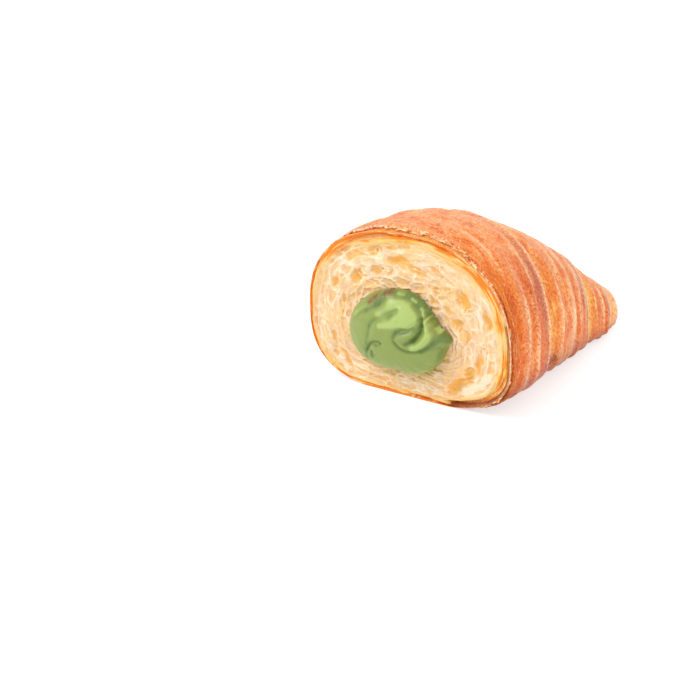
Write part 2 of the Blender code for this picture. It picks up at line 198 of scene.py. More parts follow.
# The cream, in mm where nothing else is said
CREAM_X, CREAM_Z = -1.7, 21.0  # the middle of its outline, right and up from the cut's origin
CREAM_HALF_WIDTH = 17.0
CREAM_HALF_HEIGHT = 12.8
CREAM_ROUNDNESS = 2.1
CREAM_LOBE = 0.04  # how much its outline leans to three rounded corners
CREAM_FLATS = ((20, 27, 1.9), (-24, 20, 1.1))  # degrees and half width of each, and its depth
CREAM_SWELL = 8.0  # how far its front swells out of the cut
CREAM_FULLNESS = 0.42  # of the swell: 0.5 is half an ellipse, less is fuller
CREAM_LIFT_OFF = 0.6  # of its edge from the cut
CREAM_OVERHANG = 1.3  # of its front past the core
CREAM_UNDERCUT = 0.3  # of its edge where it comes back to the cut
CREAM_GAP = 0.35  # between the core and the crumb
LIP_ANGLE, LIP_HALF_ANGLE = 4.0, 6.3  # where its lip stands out, in degrees
LIP_REACH = 2.24
CORE_START = 0.2  # how far behind the cut the core sets in
CORE_TAPER = 0.97
CREAM_REACH = 4.4  # how many stations the core runs back
CREAM_AROUND = 430
CREAM_RINGS = 150
CREAM_CORE_ROWS = 10
RAGGED_EDGE = 0.75  # height of its edge's unevenness
RIM_FOLD = 0.45  # height of the small folds near its edge
# Folds of the cream: the line of each right of and above its middle, how far it stands out (or lies
# deep, where negative), its half width, and how sharp it is (2 is rounded, 1 is a crease)
FOLDS = (
    (((0.6, 12.3), (3.9, 11.4), (6.0, 10.5), (7.9, 8.9), (9.0, 7.1), (9.5, 5.0), (9.4, 2.9), (8.0, 0.8),
      (6.2, -0.3)), -1.7, 1.0, 1.3),
    (((8.2, 5.0), (6.6, 3.8), (4.3, 3.5), (2.6, 2.5), (2.2, 1.0)), -0.75, 0.8, 1.3),
    (((8.4, 3.2), (7.6, 2.3), (5.6, 1.4), (3.0, 0.4)), 0.55, 0.9, 2.0),
    (((1.8, 0.4), (2.9, -1.5), (5.0, -2.7), (7.9, -2.9), (10.6, -1.9), (12.6, -0.1), (13.7, 1.7),
      (14.3, 3.1)), -0.9, 0.8, 1.2),
    (((9.6, 8.2), (11.0, 6.3), (11.9, 4.5), (12.0, 2.8), (10.9, 0.7), (8.8, -1.0)), 1.0, 1.2, 2.0),
    (((12.9, -1.8), (14.4, -1.3), (15.4, -0.4), (16.4, 0.6), (17.1, 0.8)), -0.6, 0.7, 1.3),
    (((-2.3, -2.8), (-3.4, -2.1), (-5.5, -2.4), (-7.2, -4.0), (-8.6, -6.8)), -1.2, 0.9, 1.2),
    (((-5.8, -4.9), (-5.6, -6.8), (-4.0, -6.2)), -0.6, 0.9, 1.6),
    (((-7.3, -2.7), (-7.0, 0.2), (-6.4, 2.7), (-5.2, 4.6), (-1.5, 7.0), (1.2, 8.6), (1.8, 9.7)),
     -0.7, 1.1, 1.5),
    (((-12.8, 3.4), (-9.0, 6.8), (-4.9, 8.7), (-3.2, 10.1), (-2.5, 11.5)), -0.8, 0.9, 1.3),
    (((4.0, 12.3), (6.6, 11.5), (8.8, 10.0), (10.3, 8.3), (11.8, 6.3), (13.1, 4.9)), -0.6, 0.6, 1.4),
)
# Painted light and highlights (above 0) and painted shade on the cream, along its lobes and folds: line,
# strength and half width
CREAM_LIGHT_AND_SHADE = (
    (((-1.0, 11.0), (1.3, 10.8), (3.8, 10.2), (5.6, 9.2), (6.7, 7.9), (6.9, 6.4), (6.0, 5.3)), 1.0, 1.5),
    (((6.2, 5.6), (3.6, 4.9), (0.1, 4.2), (-3.0, 3.5)), 0.9, 0.9),
    (((5.3, 7.0), (4.1, 8.4)), 0.8, 1.6),
    (((1.6, 6.6), (4.4, 7.0), (6.4, 6.6)), 0.8, 1.1),
    (((-4.4, 6.3), (-1.2, 5.6), (1.2, 5.4)), 0.45, 1.0),
    (((2.2, 10.3), (-0.9, 9.0), (-3.9, 6.9)), 0.6, 1.0),
    (((11.1, 5.5), (12.1, 4.3), (12.3, 2.6), (11.4, 0.6), (9.4, -1.0), (8.0, -1.6)), 1.2, 1.0),
    (((8.3, 9.4), (9.3, 7.9)), 1.8, 0.55),
    (((10.8, 7.3), (10.4, 6.2)), 1.5, 0.32),
    (((4.9, 11.9), (6.3, 11.2)), 1.7, 0.45),
    (((0.3, 12.9), (2.3, 12.7)), 1.5, 0.4),
    (((13.3, 4.5), (14.6, 3.3)), 1.5, 0.35),
    (((-13.8, 3.8), (-10.7, 6.6), (-8.4, 7.8)), 0.5, 0.9),
    (((-16.0, 2.0), (-15.6, -3.0), (-12.6, -7.6)), 0.4, 1.0),
    (((-6.7, -9.6), (-2.3, -10.9), (2.0, -11.6), (7.0, -11.0), (10.9, -9.6)), 0.45, 0.6),
    (((7.9, 4.0), (5.8, 3.2), (2.9, 2.5), (1.9, 0.9)), -0.8, 0.9),
    (((6.0, 10.6), (7.9, 9.0), (8.9, 7.1), (9.4, 4.9), (9.4, 2.8), (7.9, 0.7), (5.9, -0.6)), -0.95, 0.75),
    (((16.2, 2.0), (14.9, 1.5), (14.0, 0.6), (12.6, -0.8), (10.6, -2.2)), -0.9, 0.9),
    (((15.2, 2.9), (16.6, 2.3), (17.4, 1.2)), -0.8, 0.8),
    (((-3.0, 12.6), (-0.6, 12.6), (3.0, 12.6), (6.2, 11.9), (8.6, 10.5), (10.5, 8.6), (12.0, 6.6),
      (13.2, 5.0)), -1.05, 1.1),
    (((-4.3, 11.7), (-4.7, 10.4), (-5.6, 9.3)), -1.1, 0.9),
    (((-9.0, 6.5), (-6.8, 7.7), (-4.6, 9.1)), -0.6, 0.8),
    (((-13.5, 2.6), (-10.9, 5.1), (-8.9, 6.3)), -0.35, 0.6),
    (((2.3, 9.4), (1.0, 7.9), (-0.3, 6.6)), -0.5, 0.7),
    (((-7.0, 2.8), (-5.7, 4.3), (-2.2, 5.8), (0.7, 7.0)), -0.4, 0.7),
    (((-8.2, -3.8), (-7.6, -0.5), (-7.0, 2.3)), -0.45, 0.4),
    (((-4.1, -3.1), (-6.1, -3.1), (-8.1, -5.4), (-8.4, -8.4)), -0.7, 0.7),
    (((-6.3, -5.6), (-6.3, -7.6)), -0.8, 0.8),
    (((15.9, -1.8), (14.4, -5.5)), -0.5, 0.8),
    (((1.8, -0.4), (3.0, -1.9), (5.0, -3.0), (7.9, -3.2), (10.5, -2.1), (12.4, -0.8)), -0.6, 0.4),
)
BROWN_SPOTS = (((-8.6, 9.0), (-6.4, 11.0), 0.9), ((-4.0, 12.2), (-2.0, 12.9), 0.7))  # ends, half width

# The flakes: sizes in mm, and the degrees round the roll between which they lie
FLAKE_SEED = 5
FLAKE_ARC = (-30, 175)
FLAKE_LENGTHS, FLAKE_WIDTHS = (0.8, 2.6), (0.35, 0.9)
FLAKE_THICKNESS = 0.09  # for one 1 mm high
FLAKE_STAND_OFF = 0.18

# The stage, in metres
FLOOR_SIZE, FLOOR_ROUGHNESS, FLOOR_GLOW = 6.0, 0.6, 1.2
KEY_PLACE, KEY_SIZE = (-0.42, -0.40, 0.70), 0.35
FILL_PLACE, FILL_SIZE = (0.65, -0.25, 0.55), 0.45
LIT_PLACE = (0, 0, 0.02)

# Where the camera stands, from the frame of the cut
CAMERA_AZIMUTH, CAMERA_ELEVATION = 32.76, 23.0
CAMERA_AWAY, CAMERA_RIGHT, CAMERA_UP = 500.37, -16.88, 13.79
CAMERA_LENS, CAMERA_SENSOR = 85.0, 36.0


def cut_place():
    """Where the middle of the cut's bottom edge stands, in mm."""
    points = np.array([v.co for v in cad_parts["pastry"].data.vertices]) / MM
    front = points[:, 1].min()
    on_cut = points[points[:, 1] < front + 0.01, 0]
    return np.array([(on_cut.min() + on_cut.max()) / 2, front, 0.0])


CUT_PLACE = cut_place()


# Noise and cells, worked out for whole arrays of places


def scattered(ix, iy, iz, seed):
    """An even random number from 0 to 1 for each whole-numbered place."""
    mixed = ix * 0x8DA6B343 + iy * 0xD8163841 + iz * 0xCB1AB31F + seed * 0x9E3779B1
    mixed = mixed.astype(np.int64).astype(np.uint32)
    mixed ^= mixed >> np.uint32(15)
    mixed *= np.uint32(0x2C1B3C6D)
    mixed ^= mixed >> np.uint32(12)
    mixed *= np.uint32(0x297A2D39)
    mixed ^= mixed >> np.uint32(15)
    return mixed / 4294967295.0


def one_noise(x, y, z, seed):
    """Smooth noise from -1 to 1 whose features are about 1 wide."""
    low = [np.floor(c).astype(np.int64) for c in (x, y, z)]
    part = [c - f for c, f in zip((x, y, z), low)]
    ease = [p**3 * (p * (p * 6 - 15) + 10) for p in part]
    total = np.zeros(np.broadcast(x, y, z).shape)
    for dx in (0, 1):
        for dy in (0, 1):
            for dz in (0, 1):
                weight = ease[0] if dx else 1 - ease[0]
                weight = weight * (ease[1] if dy else 1 - ease[1])
                weight = weight * (ease[2] if dz else 1 - ease[2])
                total += weight * scattered(low[0] + dx, low[1] + dy, low[2] + dz, seed)
    return 2 * total - 1


def noise(x, y, z, seed, layers=3):
    """Layered noise, roughly from -1 to 1."""
    total, strength, size = 0.0, 1.0, 1.0
    for k in range(layers):
        shifted = (x * size + 7.3 * k, y * size + 3.1 * k, z * size + 5.7 * k)
        total = total + strength * one_noise(*shifted, seed + k)
        strength *= 0.5
        size *= 2.03
    return total / 1.4


def flat_noise(x, z, size, seed, layers=3, level=0):
    """Noise over a flat face, with features about size wide."""
    return noise(x / size, z / size, level + 0 * x, seed, layers)


def round_noise(angle, scale, seed, layers=3, level=0):
    """Noise round a ring that closes on itself, finer for a larger scale."""
    return noise(np.cos(angle) * scale, np.sin(angle) * scale, level + 0 * angle, seed, layers)


def cells(x, y, z, seed):
    """Distances to the nearest and second nearest of points scattered one to a unit cube, and a random
    number from 0 to 1 that belongs to the nearest."""
    low = [np.floor(c).astype(np.int64) for c in (x, y, z)]
    first = np.full(np.broadcast(x, y, z).shape, 9.0)
    second, label = first.copy(), np.zeros_like(first)
    for dx in (-1, 0, 1):
        for dy in (-1, 0, 1):
            for dz in (-1, 0, 1):
                cx, cy, cz = low[0] + dx, low[1] + dy, low[2] + dz
                away = np.sqrt(
                    (cx + scattered(cx, cy, cz, seed) - x) ** 2
                    + (cy + scattered(cx, cy, cz, seed + 1) - y) ** 2
                    + (cz + scattered(cx, cy, cz, seed + 2) - z) ** 2
                )
                nearer = away < first
                second = np.where(nearer, first, np.minimum(second, away))
                label = np.where(nearer, scattered(cx, cy, cz, seed + 3), label)
                first = np.where(nearer, away, first)
    return first, second, label


def eased(value, low, high):
    """0 below low, 1 above high, smooth between."""
    share = np.clip((value - low) / (high - low), 0, 1)
    return share * share * (3 - 2 * share)


def bell(value, middle, half_width):
    return np.exp(-(((value - middle) / half_width) ** 2))


def round_table(degrees, table):
    """Values between the (degrees, value) pairs of a table that closes round."""
    at, values = np.array(table).T
    return np.interp(degrees, at, values, period=360)


def patches(least, table, along, degrees):
    """The strongest of a table's soft patches at each point, and nowhere less than least."""
    for at, length, direction, spread, strength in table:
        least = np.maximum(least, strength * bell(along, at, length) * bell(degrees, direction, spread))
    return least


def curve_at(points, slopes, i, u):
    """A smooth curve through points, at u of the way from point i to the next."""
    return (
        (2 * u**3 - 3 * u**2 + 1) * points[i]
        + (u**3 - 2 * u**2 + u) * slopes[i]
        + (3 * u**2 - 2 * u**3) * points[i + 1]
        + (u**3 - u**2) * slopes[i + 1]
    )


# The form of the roll


def stations_at(t):
    """The five values of STATIONS at t, on a smooth curve through them."""
    table = np.array(STATIONS)
    slopes = np.gradient(table, axis=0)
    i = np.clip(np.floor(t).astype(int), 0, len(table) - 2)
    return curve_at(table, slopes, i, (t - i)[..., None])


def superellipse(angle, half_width, rise, exponent):
    """How far an oval's edge is from its middle: exponent 2 is an ellipse, more is squarer."""
    across = np.abs(np.cos(angle)) / half_width
    up = np.abs(np.sin(angle)) / rise
    return (across**exponent + up**exponent) ** (-1.0 / exponent)


def on_roll(t, angle, lift):
    """Points of the skin at t along the roll and angle round it, raised by lift."""
    right, back, turn, width_share, height_share = np.moveaxis(stations_at(t), -1, 0)
    height, half_width = height_share * CUT_HEIGHT, width_share * CUT_HALF_WIDTH
    on_left, above = np.cos(angle) < 0, np.sin(angle) >= 0
    belly = np.where(on_left, BELLY_LEFT, BELLY_RIGHT) * height
    rise = np.where(above, height - belly, belly + BASE_SINK) + lift
    below = np.where(on_left, BASE_ROUNDNESS_LEFT, BASE_ROUNDNESS_RIGHT)
    radius = superellipse(angle, half_width + lift, rise, np.where(above, TOP_ROUNDNESS, below))
    side, up = radius * np.cos(angle), np.maximum(belly + radius * np.sin(angle), 0.0)
    past = np.clip((t - TIP_START) / (TIP_END - TIP_START), 0, 1)
    closing = np.sqrt(1 - past**2)
    side, up = side * closing, TIP_MIDDLE * height * (1 - closing) + up * closing
    turn = np.radians(turn)
    return np.stack([right + side * np.cos(turn), back - side * np.sin(turn), up], -1)


def skin_edge(angle):
    """How far behind the cut the outer skin's ragged edge lies, in mm."""
    ragged = 1 + 0.32 * round_noise(angle, 5, 11) + 0.30 * round_noise(angle, 17, 12)
    ragged += 0.26 * round_noise(angle, 46, 13)
    return np.maximum(round_table(np.degrees(angle), SKIN_EDGES) * ragged, 0.3)


def edge_at(number, angle):
    """Where along the roll the sheet ends."""
    if number < 0:
        return skin_edge(angle) / MM_NEAR_CUT
    if number == len(SHEET_ENDS) - 1:
        return np.full_like(angle, SHEET_ENDS[number])
    wander = np.sin(2 * angle + 1.3 * (number + 1)) + 0.6 * np.sin(3 * angle + 2.1 * (number + 1))
    fine = 0.35 * round_noise(angle, 4, 40 + number)
    return SHEET_ENDS[number] + EDGE_WAVE * (wander + fine)


def sheet_lift(number, share):
    """How far the sheet stands out from the plain roll, share of its way from its start to its lip."""
    inside = np.clip(share, 0, 1)
    lift = LIP_RISES[number] * inside**1.5 - TUCKS[number] * np.exp(-inside / TUCK_SHARE)
    lift = lift + TUCK_SLOPE * np.minimum(share, 0)
    for rib in RIBS[number]:
        lift = lift + RIB_RISE * bell(share, rib, RIB_WIDTH)
    return lift


def outward(points):
    """Unit normals of a grid whose columns close round; its last column repeats its first."""
    inner = points[:, :-1]
    across = np.roll(inner, -1, axis=1) - np.roll(inner, 1, axis=1)
    normal = np.cross(np.gradient(inner, axis=0), across)
    normal /= np.linalg.norm(normal, axis=-1, keepdims=True) + 1e-9
    return np.concatenate([normal, normal[:, :1]], axis=1)


# Making pieces


def closed(rows):
    """The rows with the first once more at the end, so that they close to a ring."""
    return np.concatenate([rows, rows[:1]])


def with_ends(rows, pole=False):
    """The rows with the first and the last once more, each drawn together to a point if it is a pole."""
    ends = [rows[:1], rows[-1:]]
    if pole:
        ends = [np.broadcast_to(end.mean(axis=1, keepdims=True), end.shape) for end in ends]
    return np.concatenate([ends[0], rows, ends[1]])


def grid_piece(name, points, measures=None, flat_map=None):
    """A closed piece from a grid of points. Its columns close round, its rows close to a ring or a pole
    where their points coincide. measures are numbers kept at each point for the finish to read."""
    rows, columns = points.shape[:2]
    bpy.ops.object.select_all(action="DESELECT")
    bpy.ops.mesh.primitive_grid_add(x_subdivisions=columns - 1, y_subdivisions=rows - 1, size=2)
    piece = bpy.context.object
    piece.name = piece.data.name = name
    mesh = piece.data
    mesh.vertices.foreach_set("co", ((points + CUT_PLACE) * MM).ravel())
    for key, values in (measures or {}).items():
        kept = mesh.attributes.new(key, "FLOAT", "POINT")
        kept.data.foreach_set("value", np.broadcast_to(values, (rows, columns)).ravel().astype(np.float32))
    if flat_map is not None:
        corners = np.empty(len(mesh.loops), dtype=np.int32)
        mesh.loops.foreach_get("vertex_index", corners)
        mesh.uv_layers[0].data.foreach_set("uv", flat_map.reshape(-1, 2)[corners].ravel().astype(np.float32))
    bpy.ops.object.mode_set(mode="EDIT")
    bpy.ops.mesh.select_all(action="SELECT")
    bpy.ops.mesh.remove_doubles(threshold=2e-6)
    bpy.ops.mesh.normals_make_consistent(inside=False)
    bpy.ops.object.mode_set(mode="OBJECT")
    bpy.ops.object.shade_smooth()
    return piece


def handed_over(piece, finish, node):
    """Gives the piece its finish and its place in the object."""
    piece.data.materials.append(finish)
    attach(piece, "root")
    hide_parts(node)


# Finishes


class Socket:
    """A node's output. Arithmetic on it adds Math nodes."""

    def __init__(self, finish, output):
        self.finish, self.output = finish, output

    def __add__(self, other):
        return self.finish.math("ADD", self, other)

    def __sub__(self, other):
        return self.finish.math("SUBTRACT", self, other)

    def __rsub__(self, other):
        return self.finish.math("SUBTRACT", other, self)

    def __mul__(self, other):
        return self.finish.math("MULTIPLY", self, other)

    __radd__, __rmul__ = __add__, __mul__

    def __pow__(self, other):
        return self.finish.math("POWER", self, other)


class Finish:
    """A material whose nodes are written as Python expressions."""

    def __init__(self, name):
        self.material = bpy.data.materials.new(name)
        self.material.use_nodes = True
        self.tree = self.material.node_tree
        self.shader = self.tree.nodes["Principled BSDF"]
        place = self.tree.nodes.new("ShaderNodeTexCoord")
        self.place = self.scaled(Socket(self, place.outputs["Object"]), (1 / MM,) * 3)

    def feed(self, socket, value):
        if isinstance(value, Socket):
            self.tree.links.new(value.output, socket)
        else:
            socket.default_value = value

    def node(self, kind, settings, values, output=0):
        """Any node: its settings by name, its values by the name or number of their socket."""
        made = self.tree.nodes.new(kind)
        for key, value in settings.items():
            setattr(made, key, value)
        for key, value in values.items():
            self.feed(made.inputs[key], value)
        return Socket(self, made.outputs[output])

    def math(self, operation, first, second):
        return self.node("ShaderNodeMath", {"operation": operation}, {0: first, 1: second})

    def absolute(self, value):
        return self.node("ShaderNodeMath", {"operation": "ABSOLUTE"}, {0: value})

    def scaled(self, vector, factors):
        return self.node("ShaderNodeVectorMath", {"operation": "MULTIPLY"}, {0: vector, 1: factors})

    def measure(self, name):
        """A number kept at the mesh's points."""
        return self.node("ShaderNodeAttribute", {"attribute_name": name}, {}, "Fac")

    def flat_map(self, factors):
        return self.scaled(self.node("ShaderNodeUVMap", {}, {}), factors)

    def noise(self, vector, scale, detail=3.0, roughness=0.55, distortion=0.0):
        values = {"Vector": vector, "Scale": scale, "Detail": detail, "Roughness": roughness,
                  "Distortion": distortion}
        return self.node("ShaderNodeTexNoise", {}, values)

    def cells(self, vector, scale, feature="F1"):
        return self.node("ShaderNodeTexVoronoi", {"feature": feature}, {"Vector": vector, "Scale": scale})

    def ramp(self, value, low, high):
        """0 at low, 1 at high, smooth between."""
        values = {"Value": value, "From Min": low, "From Max": high}
        return self.node("ShaderNodeMapRange", {"interpolation_type": "SMOOTHSTEP"}, values)

    def mix(self, factor, first, second):
        values = {0: factor, 6: tinted(first), 7: tinted(second)}
        return self.node("ShaderNodeMix", {"data_type": "RGBA"}, values, 2)

    def bump(self, height, distance_mm, strength=1.0, below=None):
        values = {"Height": height, "Distance": distance_mm * MM, "Strength": strength}
        if below is not None:
            values["Normal"] = below
        return self.node("ShaderNodeBump", {}, values)

    def set(self, **values):
        """Feeds the shader's sockets: underscores stand for spaces."""
        for key, value in values.items():
            self.feed(self.shader.inputs[key.replace("_", " ")], value)
        return self.material


def tinted(colour):
    """A colour with full opacity, or a socket as it is."""
    return colour if isinstance(colour, Socket) else (*colour[:3], 1.0)


def crust_finish(s):
    """Baked crust: mottled gold and deep orange, with a painted pinkish sheen on top and on raised places,
    pale streaks round the roll that are partly painted highlights, and painted shade low on its right side.
    """
    f = Finish("baked_crust")
    relief, crest, edge, valley = (f.measure(n) for n in ("relief", "crest", "edge", "valley"))
    painted_sheen, scorch_and_shade, base, pale, bumps = (f.measure(n) for n in ("painted_sheen", "scorch_and_shade", "base", "pale", "bumps"))
    torn = f.measure("torn")
    grain = f.noise(f.flat_map((1.25, 0.95, 0)), 1.0, 3.0, 0.65)
    blotch = f.noise(f.flat_map((0.34, 0.16, 0)), 1.0, 3.0, 0.6, 0.5)
    streak = f.noise(f.flat_map((0.42, 0.030, 0)), 1.0, 2.0, 0.5, 0.3)
    specks = f.noise(f.place, 1.5, 2.0, 0.6)
    patch = f.noise(f.place, 0.13, 3.0, 0.6)
    level = (blotch - 0.5) * 0.9 + relief * 0.10 - bumps * 0.05 + valley * 0.10 - scorch_and_shade * 0.20
    colour = f.mix(f.ramp(level, -0.30, -0.02), s.rust, s.orange)
    colour = f.mix(f.ramp(level, -0.05, 0.16), colour, s.golden)
    colour = f.mix(valley * f.ramp(blotch + relief * 0.15, 0.25, 0.50) * 0.85, colour, s.yellow)
    # painted pinkish sheen on raised places, and in patches over the top of the roll, its point and the
    # listed places
    colour = f.mix(f.ramp(relief + (blotch - 0.5), 0.05, 0.75) * (painted_sheen * 0.35 + 0.30), colour, s.rosy_sheen)
    colour = f.mix(painted_sheen * f.ramp(patch + (blotch - 0.5) * 0.6, 0.30, 0.62) * 0.8, colour, s.rosy_sheen)
    # thin pale lines round the roll, partly painted highlights
    lines = f.ramp(1 - f.absolute(streak * 2 - 1), 0.90, 0.985)
    colour = f.mix(lines * f.ramp(blotch, 0.42, 0.60) * 0.35, colour, s.pale_line)
    colour = f.mix(crest * f.ramp(grain, 0.15, 0.50) * 0.9, colour, s.mauve)
    # pale along the listed ribs, partly painted highlight
    colour = f.mix(pale * f.ramp(grain, 0.20, 0.50) * 0.85, colour, s.pale_line)
    colour = f.mix(edge * f.ramp(specks, 0.30, 0.52) * 0.95, colour, s.white)
    deeper = f.scaled(colour, DARKER_GRAIN)
    colour = f.mix(f.ramp(grain, 0.52, 0.36) * (0.95 - painted_sheen * 0.35), colour, deeper)
    brighter = f.scaled(colour, BRIGHTER_GRAIN)
    colour = f.mix(f.ramp(grain, 0.53, 0.68) * 0.95, colour, brighter)
    # darker baked patches, and painted shade where they lie low on the right side and at the foot of the
    # first lip
    colour = f.mix(scorch_and_shade * f.ramp(grain, 0.54, 0.38) * 0.85, colour, s.baked)
    colour = f.mix(f.ramp(scorch_and_shade, 1.0, 1.3) * f.ramp(grain, 0.62, 0.42), colour, s.dark)
    # pale specks, denser where the painted sheen lies
    colour = f.mix(f.ramp(specks, 0.58, 0.66) * (painted_sheen * 0.55 + 0.2), colour, s.speck)
    colour = f.mix(torn * f.ramp(specks, 0.53, 0.60), colour, s.white)
    colour = f.mix(torn * f.ramp(specks, 0.44, 0.37), colour, s.baked)
    # darker towards the bottom
    colour = f.mix(base * f.ramp(specks * 0.5 + blotch * 0.5, 0.2, 0.62), colour, s.dark)
    blisters = 1 - f.cells(f.place, 1.1, "SMOOTH_F1")
    height = blisters * 0.7 + grain * 0.9 + f.noise(f.flat_map((2.4, 0.45, 0)), 1.0, 3.0) * 0.3
    return f.set(
        Base_Color=colour,
        Roughness=f.noise(f.place, 0.9, 2.0) * 0.3 + s.roughness,
        Specular_IOR_Level=s.gloss,
        Specular_Tint=tinted(SHINE_TINT),
        Normal=f.bump(height, 0.55),
        Subsurface_Weight=0.08,
        Subsurface_Radius=(0.9, 0.35, 0.12),
        Subsurface_Scale=0.0008,
    )


def crumb_finish(s):
    """The cut face: orange and golden rim, creamy crumb with white walls and amber cells, with painted shade
    at the floors of the deepest cells, in the slits between the rim's layers and below the cream.
    """
    f = Finish("crumb")
    rim, pit, wall, band = (f.measure(n) for n in ("rim", "pit", "wall", "band"))
    char_and_slit_shade, layer, strata, shade = (f.measure(n) for n in ("char_and_slit_shade", "layer", "strata", "shade"))
    soft = f.noise(f.place, 0.30, 4.0, 0.6)
    broad = f.noise(f.place, 0.12, 3.0, 0.6)
    fine = f.noise(f.place, 2.2, 3.0, 0.6)
    inner = rim + (soft - 0.5) * 1.3 + strata * 0.22
    colour = f.mix(f.ramp(inner, 0.20, 0.70), s.rim_outer, s.rim_inner)
    colour = f.mix(f.ramp(inner, 0.60, 1.15), colour, s.rim_pale)
    colour = f.mix(f.ramp(inner, 0.95, 1.8), colour, s.crumb)
    within = f.ramp(rim, 0.9, 1.6)
    colour = f.mix(within * f.ramp(broad, 0.42, 0.66) * 0.55, colour, s.blush)
    colour = f.mix(within * f.ramp(soft + fine * 0.2, 0.55, 0.74) * 0.70, colour, s.amber_pale)
    colour = f.mix(within * f.ramp(pit, 0.04, 0.50) * 0.80, colour, s.amber_pale)
    colour = f.mix(within * f.ramp(pit + (soft - 0.5) * 0.5, 0.35, 1.05) * 0.85, colour, s.amber)
    # deeper amber at the floors of the deepest cells, partly their own colour and partly painted shade
    colour = f.mix(within * f.ramp(pit + (soft - 0.5) * 0.8, 0.80, 1.20) * 0.5, colour, s.amber_deep)
    colour = f.mix(within * wall * f.ramp(fine, 0.15, 0.45) * 0.85, colour, s.wall)
    near_edge = 1 - f.ramp(rim, 0.60, 1.25)
    colour = f.mix(near_edge * f.ramp(strata, 0.02, 0.36) * 0.85, colour, s.rim_pale)
    colour = f.mix(near_edge * f.ramp(strata, -0.02, -0.30) * 0.95, colour, s.rim_outer)
    colour = f.mix(layer * near_edge * f.ramp(soft, 0.35, 0.65) * 0.5, colour, s.rim_dark)
    # the edge baked dark, and painted shade in the slits
    colour = f.mix(char_and_slit_shade * f.ramp(fine + soft, 0.7, 1.1), colour, s.rim_dark)
    colour = f.mix(band * f.ramp(fine, 0.52, 0.66) * 0.8, colour, s.rim_pale)
    # painted shadow of the cream on the crumb below it
    colour = f.mix(shade * f.ramp(soft, 0.15, 0.60), colour, s.shade)
    height = fine * 0.5 + f.noise(f.place, 5.5, 2.0) * 0.3
    return f.set(
        Base_Color=colour,
        Roughness=0.55,
        Specular_IOR_Level=0.3,
        Normal=f.bump(height, 0.12),
        Subsurface_Weight=0.45,
        Subsurface_Radius=(1.0, 0.55, 0.25),
        Subsurface_Scale=0.0016,
    )


def cream_finish(s):
    """Pistachio cream: green with painted light and painted shade, deeper green in its creases and towards
    its right edge, and a few browned spots at the top.
    """
    f = Finish("pistachio_cream")
    light_and_shade, crease, brown, ragged = (f.measure(n) for n in ("light_and_shade", "crease", "brown", "ragged"))
    soft = f.noise(f.place, 0.16, 3.0)
    fine = f.noise(f.place, 1.6, 3.0, 0.6)
    # painted light and painted shade
    level = light_and_shade + (soft - 0.5) * 0.6
    colour = f.mix(f.ramp(level, 0.0, 0.95), s.green, s.lit_green)
    colour = f.mix(f.ramp(level, 0.0, -0.95), colour, s.shaded_green)
    # painted shade in the creases
    colour = f.mix(f.ramp(crease, 0.35, 1.2) * 0.40, colour, s.shaded_green)
    # painted shade towards the cream's right edge
    colour = f.mix(ragged * f.ramp(soft, 0.55, 0.35) * 0.4, colour, s.shaded_green)
    colour = f.mix(brown * f.ramp(fine, 0.25, 0.5), colour, s.brown)
    height = fine * 0.25 + f.noise(f.place, 0.6, 2.0) * 0.6
    return f.set(
        Base_Color=colour,
        Roughness=0.36,
        Specular_IOR_Level=0.4,
        Normal=f.bump(height, 0.12),
        Subsurface_Weight=0.3,
        Subsurface_Radius=(0.8, 1.0, 0.35),
        Subsurface_Scale=0.0012,
    )


def flake_finish(s):
    """Thin pale flakes, darker in patches."""
    f = Finish("flake")
    colour = f.mix(f.ramp(f.noise(f.place, 0.9, 2.0), 0.42, 0.62), s.pale_line, s.golden)
    return f.set(Base_Color=colour, Roughness=0.4, Specular_IOR_Level=0.4, Subsurface_Weight=0.2,
                 Subsurface_Radius=(1.0, 0.5, 0.2), Subsurface_Scale=0.0005)


def floor_finish(s):
    """A plain, pale floor with a little light of its own, so that shadows on it stay soft."""
    f = Finish("floor")
    return f.set(Base_Color=tinted(s.floor_colour), Roughness=FLOOR_ROUGHNESS,
                 Emission_Color=tinted(s.floor_colour), Emission_Strength=FLOOR_GLOW)


# The crust


def skin_noise(along, around, sizes, seed, layers=2):
    """Noise on the skin whose features have these sizes, along the roll and round it."""
    return noise(along / sizes[0], around / sizes[1], 0 * along, seed, layers)


def crust_relief(s, along, around, points, number):
    """Unevenness, ribs and blisters of the crust, in mm, and the parts of it that the colour follows."""
    x, y, z = np.moveaxis(points, -1, 0)
    uneven = s.unevenness / MM * noise(x / UNEVEN_SIZE, y / UNEVEN_SIZE, z / UNEVEN_SIZE, 50 + number, 2)
    ribs = s.rib_height / MM * skin_noise(along, around, RIB_SIZE, 60 + number)
    wrinkles = WRINKLE_HEIGHT * skin_noise(along, around, WRINKLE_SIZE, 70 + number)
    bumps = skin_noise(along, around, BUMP_SIZE, 73 + number, 3)
    first, second, label = cells(x / BLISTER_SIZE, y / BLISTER_SIZE, z / BLISTER_SIZE, 80 + number)
    patchy = eased(noise(x / BLISTER_PATCH, y / BLISTER_PATCH, z / BLISTER_PATCH, 90, 2), -0.15, 0.45)
    blisters = s.blister_height / MM * np.clip(1 - (first / BLISTER_SHARE) ** 2, 0, 1) * label * patchy
    relief = uneven + ribs + wrinkles + blisters + s.bump_height / MM * bumps
    return relief, ribs / max(s.rib_height / MM, 1e-6), bumps


